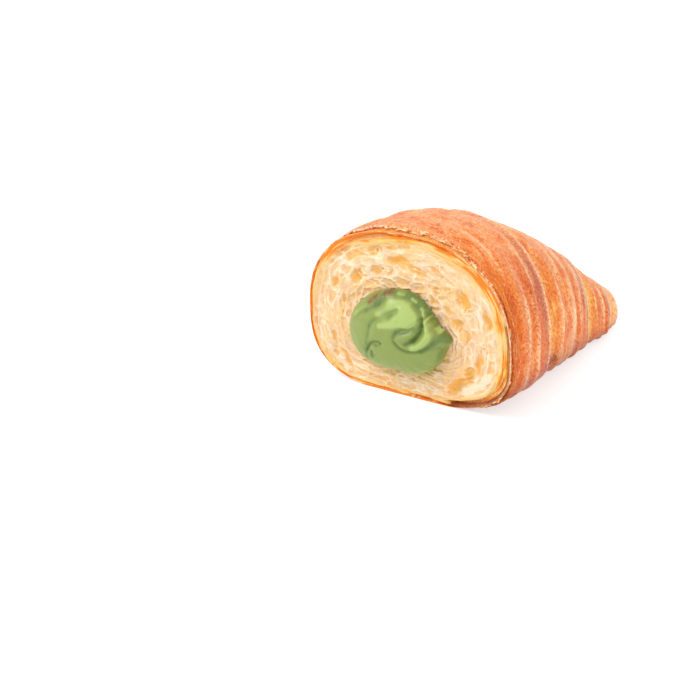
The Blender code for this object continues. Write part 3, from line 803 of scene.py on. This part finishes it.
def skin_details(s, number, points, along, around, angle):
    """How high the skin stands out, in mm, and what the finish reads of it."""
    relief, colour_relief, bumps = crust_relief(s, along, around, points, number)
    degrees = np.degrees(angle)
    wandering = along + WANDER * noise(around / WANDER_SIZE[1], along / WANDER_SIZE[0], 0 * along, 57, 2)
    pale = np.zeros_like(along)
    for at, half_width, direction, spread, height in PALE_RIBS:
        rib = bell(wandering, at, half_width) * bell(degrees, direction, spread)
        relief = relief + height * rib
        pale = np.maximum(pale, rib * min(1.0, 0.6 + 1.4 * height))
    torn_at = skin_edge(angle) * TORN_FACTOR + TORN_BEHIND
    torn = bell(along, torn_at, TORN_HALF_WIDTH) * bell(degrees, TORN_DIRECTION, TORN_SPREAD) * (number == 0)
    rough = noise(around / TORN_SIZE[1], along / TORN_SIZE[0], 0 * along, 58, 2)
    relief = relief + TORN_HEIGHT * torn * rough
    relief = relief - patches(0.0, (FOOT_GAP,), along, degrees)
    # the top of the roll and its point get painted sheen
    top = eased(np.sin(angle), 0.55, 0.98) + 0.9 * eased(along, 79, 90)
    measures = {
        "relief": colour_relief,
        "bumps": bumps,
        "pale": pale,
        "painted_sheen": patches(top, SHEEN_PATCHES, wandering, degrees),
        "torn": torn,
        "scorch_and_shade": patches(np.zeros_like(along), SCORCH_AND_SHADE_PATCHES, along, degrees),
    }
    return relief, measures


def sheet_plan(number):
    """The rows of one sheet: each one's share of the way, its offset along the roll and its drop, in mm."""
    rows = SHEET_STEPS[number][0]
    start = 0.0 if number == 0 else TUCKED_SHARE
    bend = np.linspace(0, np.pi, LIP_STEPS + 1)[1:]
    nose, tail = 0.5 * SHEET_THICKNESS, 0.5 * SKIN_THICKNESS
    plan = []
    if number == 0:
        plan += [(start, -tail * math.sin(b), tail * (1 - math.cos(b))) for b in bend[::-1]]
    plan += [(share, 0.0, 0.0) for share in np.linspace(start, 1, rows)]
    if number == len(SHEET_ENDS) - 1:
        plan += [(1.0, POINT_BULGE * math.sin(b / 2), 0.0) for b in bend[: LIP_STEPS // 2]]
    else:
        plan += [(1.0, nose * math.sin(b), nose * (1 - math.cos(b))) for b in bend]
        plan += [(share, 0.0, SHEET_THICKNESS) for share in np.linspace(0.97, max(start, 0.0) + 0.06, 6)]
    return np.array(plan)[:, :, None]


def sheet_points(s, number):
    """The shell of one sheet: its outer face, its rounded lip and its inner face, with what is measured at
    its points and its flat map in mm."""
    around = SHEET_STEPS[number][1]
    angle = np.linspace(-0.5 * np.pi, 1.5 * np.pi, around + 1)
    near, far = edge_at(number - 1, angle), edge_at(number, angle)
    plan = sheet_plan(number)
    t = near + (far - near) * plan[:, 0] + plan[:, 1] / MM_A_STATION
    points = on_roll(t, angle, sheet_lift(number, plan[:, 0]) - plan[:, 2])
    steps = np.linalg.norm(np.diff(points, axis=1), axis=-1)
    round_the_roll = np.concatenate([np.zeros((len(plan), 1)), np.cumsum(steps, axis=1)], axis=1)
    round_the_roll -= round_the_roll[:, around // 2 : around // 2 + 1]
    along = t * MM_A_STATION
    on_top = eased(plan[:, 2], 0.9 * SKIN_THICKNESS, 0.2 * SKIN_THICKNESS)
    low = eased(points[..., 2], *BASE_ZONE)
    relief, measures = skin_details(s, number, points, along, round_the_roll, angle)
    relief = relief * on_top
    relief = np.where(low > 0, relief * (1 - low) - BASE_DENT * low * np.abs(relief), relief)
    points = points + outward(points) * relief[..., None]
    points[..., 2] = np.maximum(points[..., 2], 0.0)
    tall = CUT_HEIGHT * stations_at(np.minimum(t, LAST_STATION))[..., 4]
    # darker towards the bottom: on the flat base and up the lower part of each section
    measures["base"] = np.maximum(low, 0.9 * eased(points[..., 2] / tall, 0.36, 0.03))
    length, degrees = (far - near) * MM_A_STATION, np.degrees(angle)
    from_start, to_lip = plan[:, 0] * length, (1 - plan[:, 0]) * length
    lip = number < len(SHEET_ENDS) - 1
    edge = lip * bell(to_lip, 0.25, 0.45) * (0.35 + 0.65 * bell(degrees, 25, 45))
    if number == 0:
        edge = np.maximum(edge, 0.8 * bell(from_start, 0.0, 0.45))
    measures["edge"] = edge
    measures["crest"] = lip * bell(to_lip, 2.0, 1.1) * (0.25 + 0.75 * bell(degrees, 34, 26))
    measures["valley"] = VALLEYS[number] * bell(from_start, 1.2, 4.5)
    return points, measures, np.stack([along, round_the_roll], -1)


class MESH_OT_croissant_crust(Operator):
    """Adds the rolled sheets of crust, from the cut back to the point"""

    bl_idname = "mesh.croissant_crust"
    bl_label = "Crust Sheets"

    def execute(self, context):
        s = context.scene.croissant_crust
        finish = crust_finish(s)
        for number, name in enumerate(SHEET_NAMES):
            points, measures, flat_map = sheet_points(s, number)
            last = number == len(SHEET_NAMES) - 1
            points = with_ends(points, pole=True) if last else closed(points)
            finished = with_ends if last else closed
            measures = {key: finished(values) for key, values in measures.items()}
            piece = grid_piece(name, points, measures, finished(flat_map))
            handed_over(piece, finish, "pastry")
        return {"FINISHED"}


# The cut face


def crumb_depth(s, x, z, inside):
    """How deep the crumb's cells lie, in mm, at points of the cut face inside mm from its edge; how much
    of a pit each point is; and how much of a wall, both from 0 to 1."""
    around = np.arctan2(z - CREAM_Z, x - CREAM_X)
    shift_x, shift_z = 0.75 * flat_noise(x, z, 2.6, 20), 0.75 * flat_noise(x, z, 2.6, 21, 3, 9)
    deep = np.zeros_like(x)
    for cell_x, cell_z, length, width, depth in CELLS:
        turn = math.atan2(cell_z - CREAM_Z, cell_x - CREAM_X)
        dx, dz = x + shift_x - cell_x, z + shift_z - cell_z
        across = dx * math.cos(turn) + dz * math.sin(turn)
        along = -dx * math.sin(turn) + dz * math.cos(turn)
        rest = 1 - (1.7 * along / length) ** 2 - (1.7 * across / width) ** 2
        deep = np.maximum(deep, CELL_DEPTH * depth * eased(rest, -0.5, 1.1))
    total, pit, wall = deep, eased(deep, 0.0, 1.9), 0.6 * bell(deep, 0.16, 0.15)
    for size, layer, depth, seed, walls in SMALL_CELLS:
        wave = 0.9 * flat_noise(x, z, 5, seed + 9)
        turn = 0.16 * flat_noise(x, z, 4, seed + 10, 3, 3)
        ring_x = np.cos(around + turn) * CELL_RING / size
        ring_z = np.sin(around + turn) * CELL_RING / size
        first, second, label = cells(ring_x, ring_z, (inside + wave) / layer, seed)
        hole = eased(second - first, 0.0, 0.50) * (0.20 + 0.80 * label)
        total = total + depth * hole * (1 - 0.7 * pit)
        pit = np.maximum(pit, 0.85 * hole * label * (depth / 0.95) ** 0.35)
        clear = walls * (0.3 + 0.7 * eased(flat_noise(x, z, 3.5, seed + 8, 2), -0.35, 0.3))
        wall = np.maximum(wall, clear * bell(second - first, 0.0, 0.14) * (1 - eased(deep, 0.3, 0.9)))
    web = noise(np.cos(around) * 3.6 + x / 9, np.sin(around) * 3.6 + z / 9, inside / 1.5, 36, 2)
    strand = bell(web, 0.0, 0.10) * eased(flat_noise(x, z, 5, 37, 2), -0.35, 0.15)
    total = total * (1 - 0.55 * strand * eased(total, 0.2, 0.8))
    wall = np.maximum(wall, 0.75 * strand)
    pit = pit * (1 - 0.5 * strand)
    fibres = 0.14 * round_noise(around, 5, 38, 2, inside / 0.9)
    rough = 0.05 * flat_noise(x, z, 1.1, 39, 2)
    return s.cell_depth * total + fibres + rough, pit, wall


def rim_slits(angle, degrees, inside):
    """How deep the slits between the rim's layers are, in mm, and how dark their painted shade is, at points
    of the cut face.
    """
    slit, shade_there = np.zeros_like(inside), np.zeros_like(inside)
    for number, (first, final, at, half_width, deep, dark) in enumerate(SLITS):
        middle, half = 0.5 * (first + final), 0.5 * (final - first)
        off = np.abs(np.mod(degrees - middle + 180, 360) - 180)
        wander = at + 0.3 * round_noise(angle, 9, 45, 2, number)
        shape = eased(off, half, half - SLIT_ENDS) * bell(inside, wander, half_width) ** 0.7
        slit = np.maximum(slit, deep * shape)
        shade_there = np.maximum(shade_there, dark * shape)
    return slit, shade_there


def upright_ring(offset, y):
    """A ring of points at y, each offset to the right and up from the cream's middle."""
    return np.stack([CREAM_X + offset[:, 0], np.full(len(offset), y), CREAM_Z + offset[:, 1]], -1)


def band_rows(angle):
    """The layered band: round the edge, back below the skin, and inwards. Also gives how many layers back
    each of its points is, and how far each stands below its own layer's top, from 0 to 1."""
    round_edge = 0.3 * (1 - np.cos(np.linspace(0.3, 0.5 * np.pi, 4)))
    back = np.concatenate([round_edge, np.linspace(0.45, BAND_END, BAND_ROWS)])[:, None]
    terrace = back / BAND_STEP + 1.2 * round_noise(angle, 8, 46, 3, back / 3)
    step = (terrace - np.floor(terrace)) ** 2
    drop = 0.05 + 0.25 * np.exp(-back / 0.12) + 0.36 * eased(back, 0.2, 1.4)
    drop = drop + 0.2 * step * eased(back, 0.3, 0.9) + 2.2 * eased(back, 4.2, BAND_END)
    return on_roll(back / MM_NEAR_CUT + 0 * angle, angle, -drop), terrace, step


def cut_points(s):
    """The cut face, from the tunnel's wall over the crumb, the rim and the layered band behind the edge to
    its back, and what is measured at its points."""
    angle = np.linspace(-0.5 * np.pi, 1.5 * np.pi, FACE_AROUND + 1)
    degrees = np.degrees(np.mod(angle + np.pi, 2 * np.pi) - np.pi)
    edge = on_roll(np.zeros_like(angle), angle, 0 * angle)[:, (0, 2)]
    ray = edge - np.array([CREAM_X, CREAM_Z])
    reach = np.linalg.norm(ray, axis=1)
    toward = np.arctan2(ray[:, 1], ray[:, 0])
    hole = cream_radius(toward, CREAM_GAP - CREAM_OVERHANG)
    crumb_end = reach - RIM_ZONE
    away = [hole + (crumb_end - hole) * k / CRUMB_ROWS for k in range(CRUMB_ROWS)]
    away += [crumb_end + (RIM_ZONE - EDGE_ROUND) * k / RIM_ROWS for k in range(RIM_ROWS + 1)]
    away = np.array(away)
    inside = reach - away
    x, z = CREAM_X + ray[:, 0] / reach * away, CREAM_Z + ray[:, 1] / reach * away
    thick = round_table(degrees, RIM_THICKNESSES) * (1 + 0.30 * round_noise(angle, 6, 43))
    strata = round_noise(angle, 5.5, 47, 3, inside / 0.50)
    crumb = eased(inside, 0.75 * thick, thick + 1.0)
    dents, pit, wall_there = crumb_depth(s, x, z, inside)
    ripple = round_noise(angle, 7, 44, 3, inside / 2.5)
    phase = inside / LAYER_STEP + 1.3 * ripple
    layer = (phase - np.floor(phase)) ** 2
    slit, slit_shade = rim_slits(angle, degrees, inside)
    depth = crumb * (CRUMB_SINK + np.maximum(dents, -0.3)) + (1 - crumb) * (0.26 * layer + 0.14 * ripple)
    depth = np.maximum(depth, 0.0) * eased(inside, 0.1, 0.6) + slit * eased(inside, 0.1, 0.35)
    face = np.stack([x, depth, z], -1)
    ragged = 0.75 + 0.9 * round_noise(angle, 16, 48)
    burnt = round_table(degrees, CHARS)
    # the edge's baked darkness, with painted shade in the slits
    char_and_slit_shade = np.clip(slit_shade + burnt * ragged * bell(inside, 0, 0.7 * ragged), 0, 1)
    # painted shadow of the cream on the crumb right below it
    shade = 0.75 * bell(away - cream_radius(toward, 0.0), 0.8, 2.4) * eased(-np.sin(toward + 0.15), 0.1, 0.9)
    band, terrace, step = band_rows(angle)
    inward = ray / reach[:, None] * hole[:, None]
    wall = np.array([upright_ring(inward, y) for y in TUNNEL_ROWS])
    behind = np.array([upright_ring(ray * share, y) for share, y in BACK_ROWS])
    points = np.concatenate([wall, face, band, behind])
    # each measure on the face and on the band, and its even value on the wall and behind
    measured = {
        "rim": (inside / thick, 0.15, 3.0),
        "pit": (pit * crumb, 0.0, 0.5),
        "wall": (wall_there * crumb, 0.0, 0.0),
        "band": (0.0, 1.0, 0.0),
        "char_and_slit_shade": (char_and_slit_shade, burnt * (0.25 + 0.6 * step), 0.0),
        "layer": (layer, step, 0.0),
        "strata": (strata, terrace % 1.0 - 0.5, 0.0),
        "shade": (shade, 0.0, 0.0),
    }
    measures = {}
    for key, (on_face, on_band, hidden) in measured.items():
        parts = ((hidden, wall), (on_face, face), (on_band, band), (hidden, behind))
        measures[key] = np.concatenate([np.broadcast_to(value, rows.shape[:2]) for value, rows in parts])
    return points, measures


class MESH_OT_croissant_cut_face(Operator):
    """Adds the cut face: layered rim, crumb with its air cells, and the slit of the parted flake"""

    bl_idname = "mesh.croissant_cut_face"
    bl_label = "Cut Face"

    def execute(self, context):
        s = context.scene.croissant_cut
        points, measures = cut_points(s)
        measures = {key: closed(values) for key, values in measures.items()}
        piece = grid_piece("cut_face", closed(points), measures)
        handed_over(piece, crumb_finish(s), "pastry")
        return {"FINISHED"}


# The cream


def cream_radius(angle, grow):
    """The cream's outline from its middle, in mm: a rounded form that is flatter in places."""
    radius = superellipse(angle, CREAM_HALF_WIDTH, CREAM_HALF_HEIGHT, CREAM_ROUNDNESS)
    degrees = np.degrees(np.mod(angle + np.pi, 2 * np.pi) - np.pi)
    for direction, spread, depth in CREAM_FLATS:
        grow = grow - depth * bell(degrees, direction, spread)
    return radius * (1 - CREAM_LOBE * np.sin(3 * angle)) + grow


def smooth_line(line, steps=6):
    """A smooth curve through the points of a line."""
    points = np.array(line, dtype=float)
    slopes = np.gradient(points, axis=0)
    made = []
    for i in range(len(points) - 1):
        made += [curve_at(points, slopes, i, u) for u in np.linspace(0, 1, steps, endpoint=False)]
    return np.array([*made, points[-1]])


def distance_to_line(x, z, line):
    """Distance of points from a line, and the share of the line's length at the nearest place."""
    best, share_there = np.full(np.shape(x), np.inf), np.zeros(np.shape(x))
    count = len(line) - 1
    for k in range(count):
        (from_x, from_z), (to_x, to_z) = line[k], line[k + 1]
        along_x, along_z = to_x - from_x, to_z - from_z
        share = np.clip(((x - from_x) * along_x + (z - from_z) * along_z) / (along_x**2 + along_z**2), 0, 1)
        away = np.hypot(x - from_x - share * along_x, z - from_z - share * along_z)
        nearer = away < best
        best = np.where(nearer, away, best)
        share_there = np.where(nearer, (k + share) / count, share_there)
    return best, share_there


def fold_relief(s, x, z):
    """How far the folds raise the front of the cream in mm, and how much of a crease each point is."""
    relief, crease = np.zeros_like(x), np.zeros_like(x)
    for line, rise, half_width, sharpness in FOLDS:
        away, share = distance_to_line(x, z, smooth_line(line))
        ends = 0.35 + 0.65 * eased(share, 0.0, 0.12) * eased(share, 1.0, 0.88)
        shape = np.exp(-((away / half_width) ** sharpness)) * ends
        relief += s.fold_depth * rise * shape
        if rise < 0:
            crease = np.maximum(crease, shape * min(1.0, -rise))
    return relief, crease


def cream_ring(angle, radius, y):
    return np.stack([CREAM_X + radius * np.cos(angle), y + 0 * angle, CREAM_Z + radius * np.sin(angle)], -1)


def cream_points(s):
    """The swirl in front of the cut and the core behind it, from the middle of its front to its far end."""
    angle = np.linspace(0, 2 * np.pi, CREAM_AROUND + 1)
    share = np.sin(0.5 * np.pi * np.linspace(0, 1, CREAM_RINGS + 1))[:, None]
    degrees = np.degrees(np.mod(angle + np.pi, 2 * np.pi) - np.pi)
    lip = LIP_REACH * bell(degrees, LIP_ANGLE, LIP_HALF_ANGLE)
    ragged_side = 0.25 + 0.75 * bell(degrees, 15, 50)
    uneven = RAGGED_EDGE * ragged_side * round_noise(angle, 9, 91)
    radius = (cream_radius(angle, uneven) + lip * share**4) * share
    x, z = radius * np.cos(angle), radius * np.sin(angle)
    dome = (1 - share**2) ** CREAM_FULLNESS
    folds, crease = fold_relief(s, x, z)
    soft = 0.25 * flat_noise(x, z, 5, 92, 2) + 0.05 * flat_noise(x, z, 1.2, 93, 2)
    rim_folds = noise(x / 2.1, z / 2.9, 0 * x, 94, 2)
    soft = soft + RIM_FOLD * ragged_side * eased(share, 0.74, 0.9) * rim_folds
    forward = CREAM_LIFT_OFF + CREAM_SWELL * dome + (folds + soft) * np.minimum(1.0, 2.2 * dome)
    front = np.stack([CREAM_X + x, -forward, CREAM_Z + z], -1)
    core = cream_radius(angle, -CREAM_OVERHANG)
    rows = [cream_ring(angle, cream_radius(angle, -CREAM_UNDERCUT), 0), cream_ring(angle, core, CORE_START)]
    for k in range(1, CREAM_CORE_ROWS + 1):
        t = CREAM_REACH * k / CREAM_CORE_ROWS
        right, back, turn, width_share, height_share = stations_at(np.array(t))
        taper = math.sqrt(1 - CORE_TAPER * (t / CREAM_REACH) ** 2)
        radius = core * taper * min(width_share, height_share)
        side, turn = CREAM_X * width_share + radius * np.cos(angle), math.radians(turn)
        rows.append(np.stack([right + side * math.cos(turn), back - side * math.sin(turn),
                              CREAM_Z * height_share + radius * np.sin(angle)], -1))
    rows.append(np.broadcast_to(rows[-1][:-1].mean(axis=0), rows[-1].shape))
    light_and_shade, brown = np.zeros_like(x), np.zeros_like(x)
    for line, strength, half_width in CREAM_LIGHT_AND_SHADE:
        light_and_shade += strength * bell(distance_to_line(x, z, smooth_line(line, 3))[0], 0, half_width)
    for start, end, half_width in BROWN_SPOTS:
        brown = np.maximum(brown, bell(distance_to_line(x, z, (start, end))[0], 0, half_width))
    # painted shade towards the cream's right edge
    ragged = eased(share, 0.86, 0.99) * eased(np.cos(angle - 0.5), 0.3, 0.95)
    hidden = np.zeros((len(rows), x.shape[1]))
    measures = {
        "light_and_shade": np.concatenate([light_and_shade, hidden]),
        "crease": np.concatenate([crease, hidden + 0.8]),
        "brown": np.concatenate([brown, hidden]),
        "ragged": np.concatenate([ragged, hidden]),
    }
    return np.concatenate([front, np.array(rows)]), measures


class MESH_OT_croissant_cream(Operator):
    """Adds the pistachio cream: the swirl at the cut and its core"""

    bl_idname = "mesh.croissant_cream"
    bl_label = "Pistachio Cream"

    def execute(self, context):
        s = context.scene.croissant_cream
        points, measures = cream_points(s)
        piece = grid_piece("cream", points, measures)
        handed_over(piece, cream_finish(s), "pistachio_cream")
        return {"FINISHED"}


# Loose flakes


def flake_places(count, random):
    """Where each flake lies: t along the roll and angle round it."""
    places = []
    for k in range(count):
        angle = math.radians(random.uniform(*FLAKE_ARC))
        if k % 10 < 7:
            t = float(skin_edge(np.array([angle]))[0]) / MM_NEAR_CUT + random.normal(0.0, 0.02)
        elif k % 10 < 9:
            t = float(edge_at(k % 2, np.array([angle]))[0]) - 0.05
        else:
            t = random.uniform(0.3, 4.5)
        places.append((max(t, 0.03), angle))
    return places


def flake_matrix(t, angle, random):
    """What lays the first flake, in mm, down on the skin, turned and sized at random."""
    ring = on_roll(np.full(3, t), angle + np.array([-0.01, 0.0, 0.01]), np.full(3, FLAKE_STAND_OFF))
    ahead = on_roll(np.array([t + 0.05]), np.array([angle]), np.array([FLAKE_STAND_OFF]))[0]
    along = Vector(ring[2] - ring[0]).normalized()
    normal = Vector(ahead - ring[1]).cross(along).normalized()
    turn = Matrix((along, normal.cross(along), normal)).transposed()
    spin = Matrix.Rotation(random.normal(0.0, 0.35), 3, "Z")
    tilt = Matrix.Rotation(random.normal(0.1, 0.3), 3, "X")
    length, width = random.uniform(*FLAKE_LENGTHS), random.uniform(*FLAKE_WIDTHS)
    shape = Matrix.Diagonal((length, width, 0.5 * length + 0.3))
    return Matrix.Translation(Vector(ring[1] + CUT_PLACE)) @ (turn @ spin @ tilt @ shape).to_4x4()


class MESH_OT_croissant_flakes(Operator):
    """Adds the loose flakes along the skin's broken edge and on the lips"""

    bl_idname = "mesh.croissant_flakes"
    bl_label = "Loose Flakes"

    def execute(self, context):
        s = context.scene.croissant_crust
        bpy.ops.object.select_all(action="DESELECT")
        bpy.ops.mesh.primitive_grid_add(x_subdivisions=10, y_subdivisions=5, size=1)
        first = context.object
        co = np.array([v.co for v in first.data.vertices])
        x, y = co[:, 0], co[:, 1]
        co[:, 1] = y * (1 - 1.8 * x**2) + 0.18 * noise(x * 6, y * 3, 0 * x, 77, 2)
        co[:, 2] = 0.35 * x**2 - 0.12 * y**2 + 0.05 * noise(x * 4, y * 4, 0 * x, 78, 1)
        first.data.vertices.foreach_set("co", co.ravel())
        thick = first.modifiers.new("thickness", "SOLIDIFY")
        thick.thickness = FLAKE_THICKNESS
        bpy.ops.object.modifier_apply(modifier=thick.name)
        random = np.random.default_rng(FLAKE_SEED)
        made = []
        for t, angle in flake_places(s.flakes, random):
            flake = first.copy()
            flake.data = first.data.copy()
            flake.data.transform(Matrix.Scale(MM, 4) @ flake_matrix(t, angle, random))
            context.scene.collection.objects.link(flake)
            made.append(flake)
        bpy.data.objects.remove(first)
        for flake in made:
            flake.select_set(True)
        context.view_layer.objects.active = made[0]
        bpy.ops.object.join()
        made[0].name = made[0].data.name = "flakes"
        bpy.ops.object.shade_smooth()
        handed_over(made[0], flake_finish(s), "pastry")
        return {"FINISHED"}


# The stage


def soft_light(name, place, size, power):
    """A square area light at place, turned to the part."""
    data = bpy.data.lights.new(name, "AREA")
    data.shape = "SQUARE"
    data.size, data.energy = size, power
    light = bpy.data.objects.new(name, data)
    bpy.context.scene.collection.objects.link(light)
    light.location = place
    light.rotation_euler = (Vector(LIT_PLACE) - Vector(place)).to_track_quat("-Z", "Y").to_euler()


def camera_matrix():
    turn, rise = math.radians(CAMERA_AZIMUTH), math.radians(CAMERA_ELEVATION)
    back = Vector((math.sin(turn) * math.cos(rise), -math.cos(turn) * math.cos(rise), math.sin(rise)))
    right = Vector((math.cos(turn), math.sin(turn), 0.0))
    up = back.cross(right)
    place = back * CAMERA_AWAY + right * CAMERA_RIGHT + up * CAMERA_UP + Vector(CUT_PLACE)
    return Matrix.Translation(place * MM) @ Matrix((right, up, back)).transposed().to_4x4()


class SCENE_OT_croissant_stage(Operator):
    """Adds the pale floor, soft light and the camera"""

    bl_idname = "scene.croissant_stage"
    bl_label = "Stage"

    def execute(self, context):
        s = context.scene.croissant_stage
        bpy.ops.object.select_all(action="DESELECT")
        bpy.ops.mesh.primitive_plane_add(size=FLOOR_SIZE, location=(0, 0, 0))
        floor = context.object
        floor.name = "floor"
        floor.data.materials.append(floor_finish(s))
        soft_light("key", KEY_PLACE, KEY_SIZE, s.key_power)
        soft_light("fill", FILL_PLACE, FILL_SIZE, s.fill_power)
        world = bpy.data.worlds.new("studio")
        world.use_nodes = True
        background = world.node_tree.nodes["Background"]
        background.inputs["Color"].default_value = (1.0, 1.0, 1.0, 1.0)
        background.inputs["Strength"].default_value = s.surround
        context.scene.world = world
        context.scene.view_settings.view_transform = "Standard"
        data = bpy.data.cameras.new("camera")
        data.lens, data.sensor_width = CAMERA_LENS, CAMERA_SENSOR
        camera = bpy.data.objects.new("camera", data)
        context.scene.collection.objects.link(camera)
        camera.matrix_world = camera_matrix()
        context.scene.camera = camera
        return {"FINISHED"}


# Settings


def colour_setting(name, default, description):
    return FloatVectorProperty(name=name, description=description, subtype="COLOR", size=3, min=0.0, max=1.0,
                               default=default)


class CroissantCrust(PropertyGroup):
    unevenness: FloatProperty(name="Unevenness", description="Height of the broad bumps", default=0.00028,
                              unit="LENGTH")
    rib_height: FloatProperty(name="Rib Height", description="Height of the ribs round the roll",
                              default=0.0005, unit="LENGTH")
    bump_height: FloatProperty(name="Bump Height", description="Height of the middling bumps",
                               default=0.00018, unit="LENGTH")
    blister_height: FloatProperty(name="Blister Height", description="Height of the small blisters",
                                  default=0.00014, unit="LENGTH")
    flakes: IntProperty(name="Flakes", description="Number of loose flakes", default=110, min=1)
    roughness: FloatProperty(name="Roughness", description="Least roughness of the crust", default=0.22,
                             min=0.0, max=1.0, subtype="FACTOR")
    gloss: FloatProperty(name="Gloss", description="Strength of the egg glaze's shine", default=0.42,
                         min=0.0, max=1.0, subtype="FACTOR")
    orange: colour_setting("Orange", (0.76, 0.142, 0.005), "Main colour of the crust")
    golden: colour_setting("Golden", (0.82, 0.24, 0.01), "Colour of the lighter mottling")
    yellow: colour_setting("Yellow", (0.97, 0.47, 0.034), "Colour of the valleys and specks")
    # colour of the painted sheen
    rosy_sheen: colour_setting("Rosy", (0.87, 0.33, 0.12), "Colour of the ribs and the top")
    rust: colour_setting("Rust", (0.62, 0.09, 0.005), "Colour of the redder mottling")
    white: colour_setting("White", (0.90, 0.62, 0.40), "Colour of the lips' edges and torn skin")
    speck: colour_setting("Specks", (0.96, 0.62, 0.22), "Colour of the small pale specks")
    mauve: colour_setting("Mauve", (0.42, 0.12, 0.07), "Colour of the lips' crests")
    # also the colour of painted shade low on the right side
    baked: colour_setting("Baked", (0.42, 0.062, 0.008), "Colour of the darkest mottling")
    # pale lines on the crust, partly painted highlight; also the flakes' pale colour
    pale_line: colour_setting("Pale Lines", (0.94, 0.61, 0.35), "Colour of the thin streaks")
    # used towards the bottom, and as painted shade in the darkest of the darker places
    dark: colour_setting("Dark", (0.24, 0.034, 0.01), "Colour of the base")


class CroissantCut(PropertyGroup):
    cell_depth: FloatProperty(name="Cell Depth", description="Factor on the depth of the cells", default=1.0,
                              min=0.0, max=2.0)
    crumb: colour_setting("Crumb", (0.7, 0.445, 0.232), "Colour of the crumb")
    wall: colour_setting("Walls", (0.9, 0.76, 0.59), "Colour of the walls between the cells")
    amber_pale: colour_setting("Pale Amber", (0.86, 0.5, 0.155), "Colour of the shallow cells")
    amber: colour_setting("Amber", (0.87, 0.44, 0.075), "Colour inside the deep cells")
    # partly painted shade at the floors of the deepest cells
    amber_deep: colour_setting("Deep Amber", (0.82, 0.35, 0.042), "Colour of the deepest cells' floors")
    blush: colour_setting("Blush", (0.82, 0.45, 0.185), "Colour of the crumb's warmer patches")
    # colour of the painted shadow below the cream
    shade: colour_setting("Shade", (0.46, 0.36, 0.13), "Colour of the crumb right below the cream")
    rim_pale: colour_setting("Pale Rim", (0.86, 0.59, 0.25), "Colour where the rim meets the crumb")
    rim_inner: colour_setting("Inner Rim", (0.86, 0.46, 0.06), "Colour of the rim's inner side")
    rim_outer: colour_setting("Outer Rim", (0.81, 0.225, 0.014), "Colour of the rim at the edge")
    # also the colour of the painted shade in the slits
    rim_dark: colour_setting("Rim Layers", (0.64, 0.13, 0.012), "Colour between the rim's layers")


class CroissantCream(PropertyGroup):
    fold_depth: FloatProperty(name="Fold Depth", description="Factor on the depth of the folds", default=1.0,
                              min=0.0, max=2.0)
    green: colour_setting("Green", (0.235, 0.3, 0.066), "Main colour of the cream")
    # its light and deep greens are painted light and painted shade
    lit_green: colour_setting("Light Green", (0.375, 0.475, 0.14), "Colour of its light streaks")
    shaded_green: colour_setting("Deep Green", (0.125, 0.19, 0.045), "Colour of its dark streaks and creases")
    brown: colour_setting("Brown", (0.20, 0.085, 0.03), "Colour of its browned spots")


class CroissantStage(PropertyGroup):
    floor_colour: colour_setting("Floor", (0.50, 0.512, 0.516), "Colour of the floor")
    key_power: FloatProperty(name="Key", description="Power of the main light", default=3.1, unit="POWER")
    fill_power: FloatProperty(name="Fill", description="Power of the light on the right", default=1.0,
                              unit="POWER")
    surround: FloatProperty(name="Surround", description="Strength of the light from all round", default=1.02)


class VIEW3D_PT_croissant(Panel):
    bl_label = "Croissant"
    bl_category = "Croissant"
    bl_space_type = "VIEW_3D"
    bl_region_type = "UI"

    def draw(self, context):
        for maker in MAKERS:
            self.layout.operator(maker.bl_idname)
        for name in SETTINGS:
            group = getattr(context.scene, name)
            for key in group.__annotations__:
                self.layout.prop(group, key)


SETTINGS = {
    "croissant_crust": CroissantCrust,
    "croissant_cut": CroissantCut,
    "croissant_cream": CroissantCream,
    "croissant_stage": CroissantStage,
}
MAKERS = (
    MESH_OT_croissant_crust,
    MESH_OT_croissant_cut_face,
    MESH_OT_croissant_cream,
    MESH_OT_croissant_flakes,
    SCENE_OT_croissant_stage,
)


def register():
    for made in (*SETTINGS.values(), *MAKERS, VIEW3D_PT_croissant):
        bpy.utils.register_class(made)
    for name, group in SETTINGS.items():
        setattr(bpy.types.Scene, name, PointerProperty(type=group))


def unregister():
    for name in SETTINGS:
        delattr(bpy.types.Scene, name)
    for made in reversed((*SETTINGS.values(), *MAKERS, VIEW3D_PT_croissant)):
        bpy.utils.unregister_class(made)


def main():
    register()
    bpy.ops.mesh.croissant_crust()
    bpy.ops.mesh.croissant_cut_face()
    bpy.ops.mesh.croissant_cream()
    bpy.ops.mesh.croissant_flakes()
    bpy.ops.scene.croissant_stage()


if __name__ == "__main__":
    main()
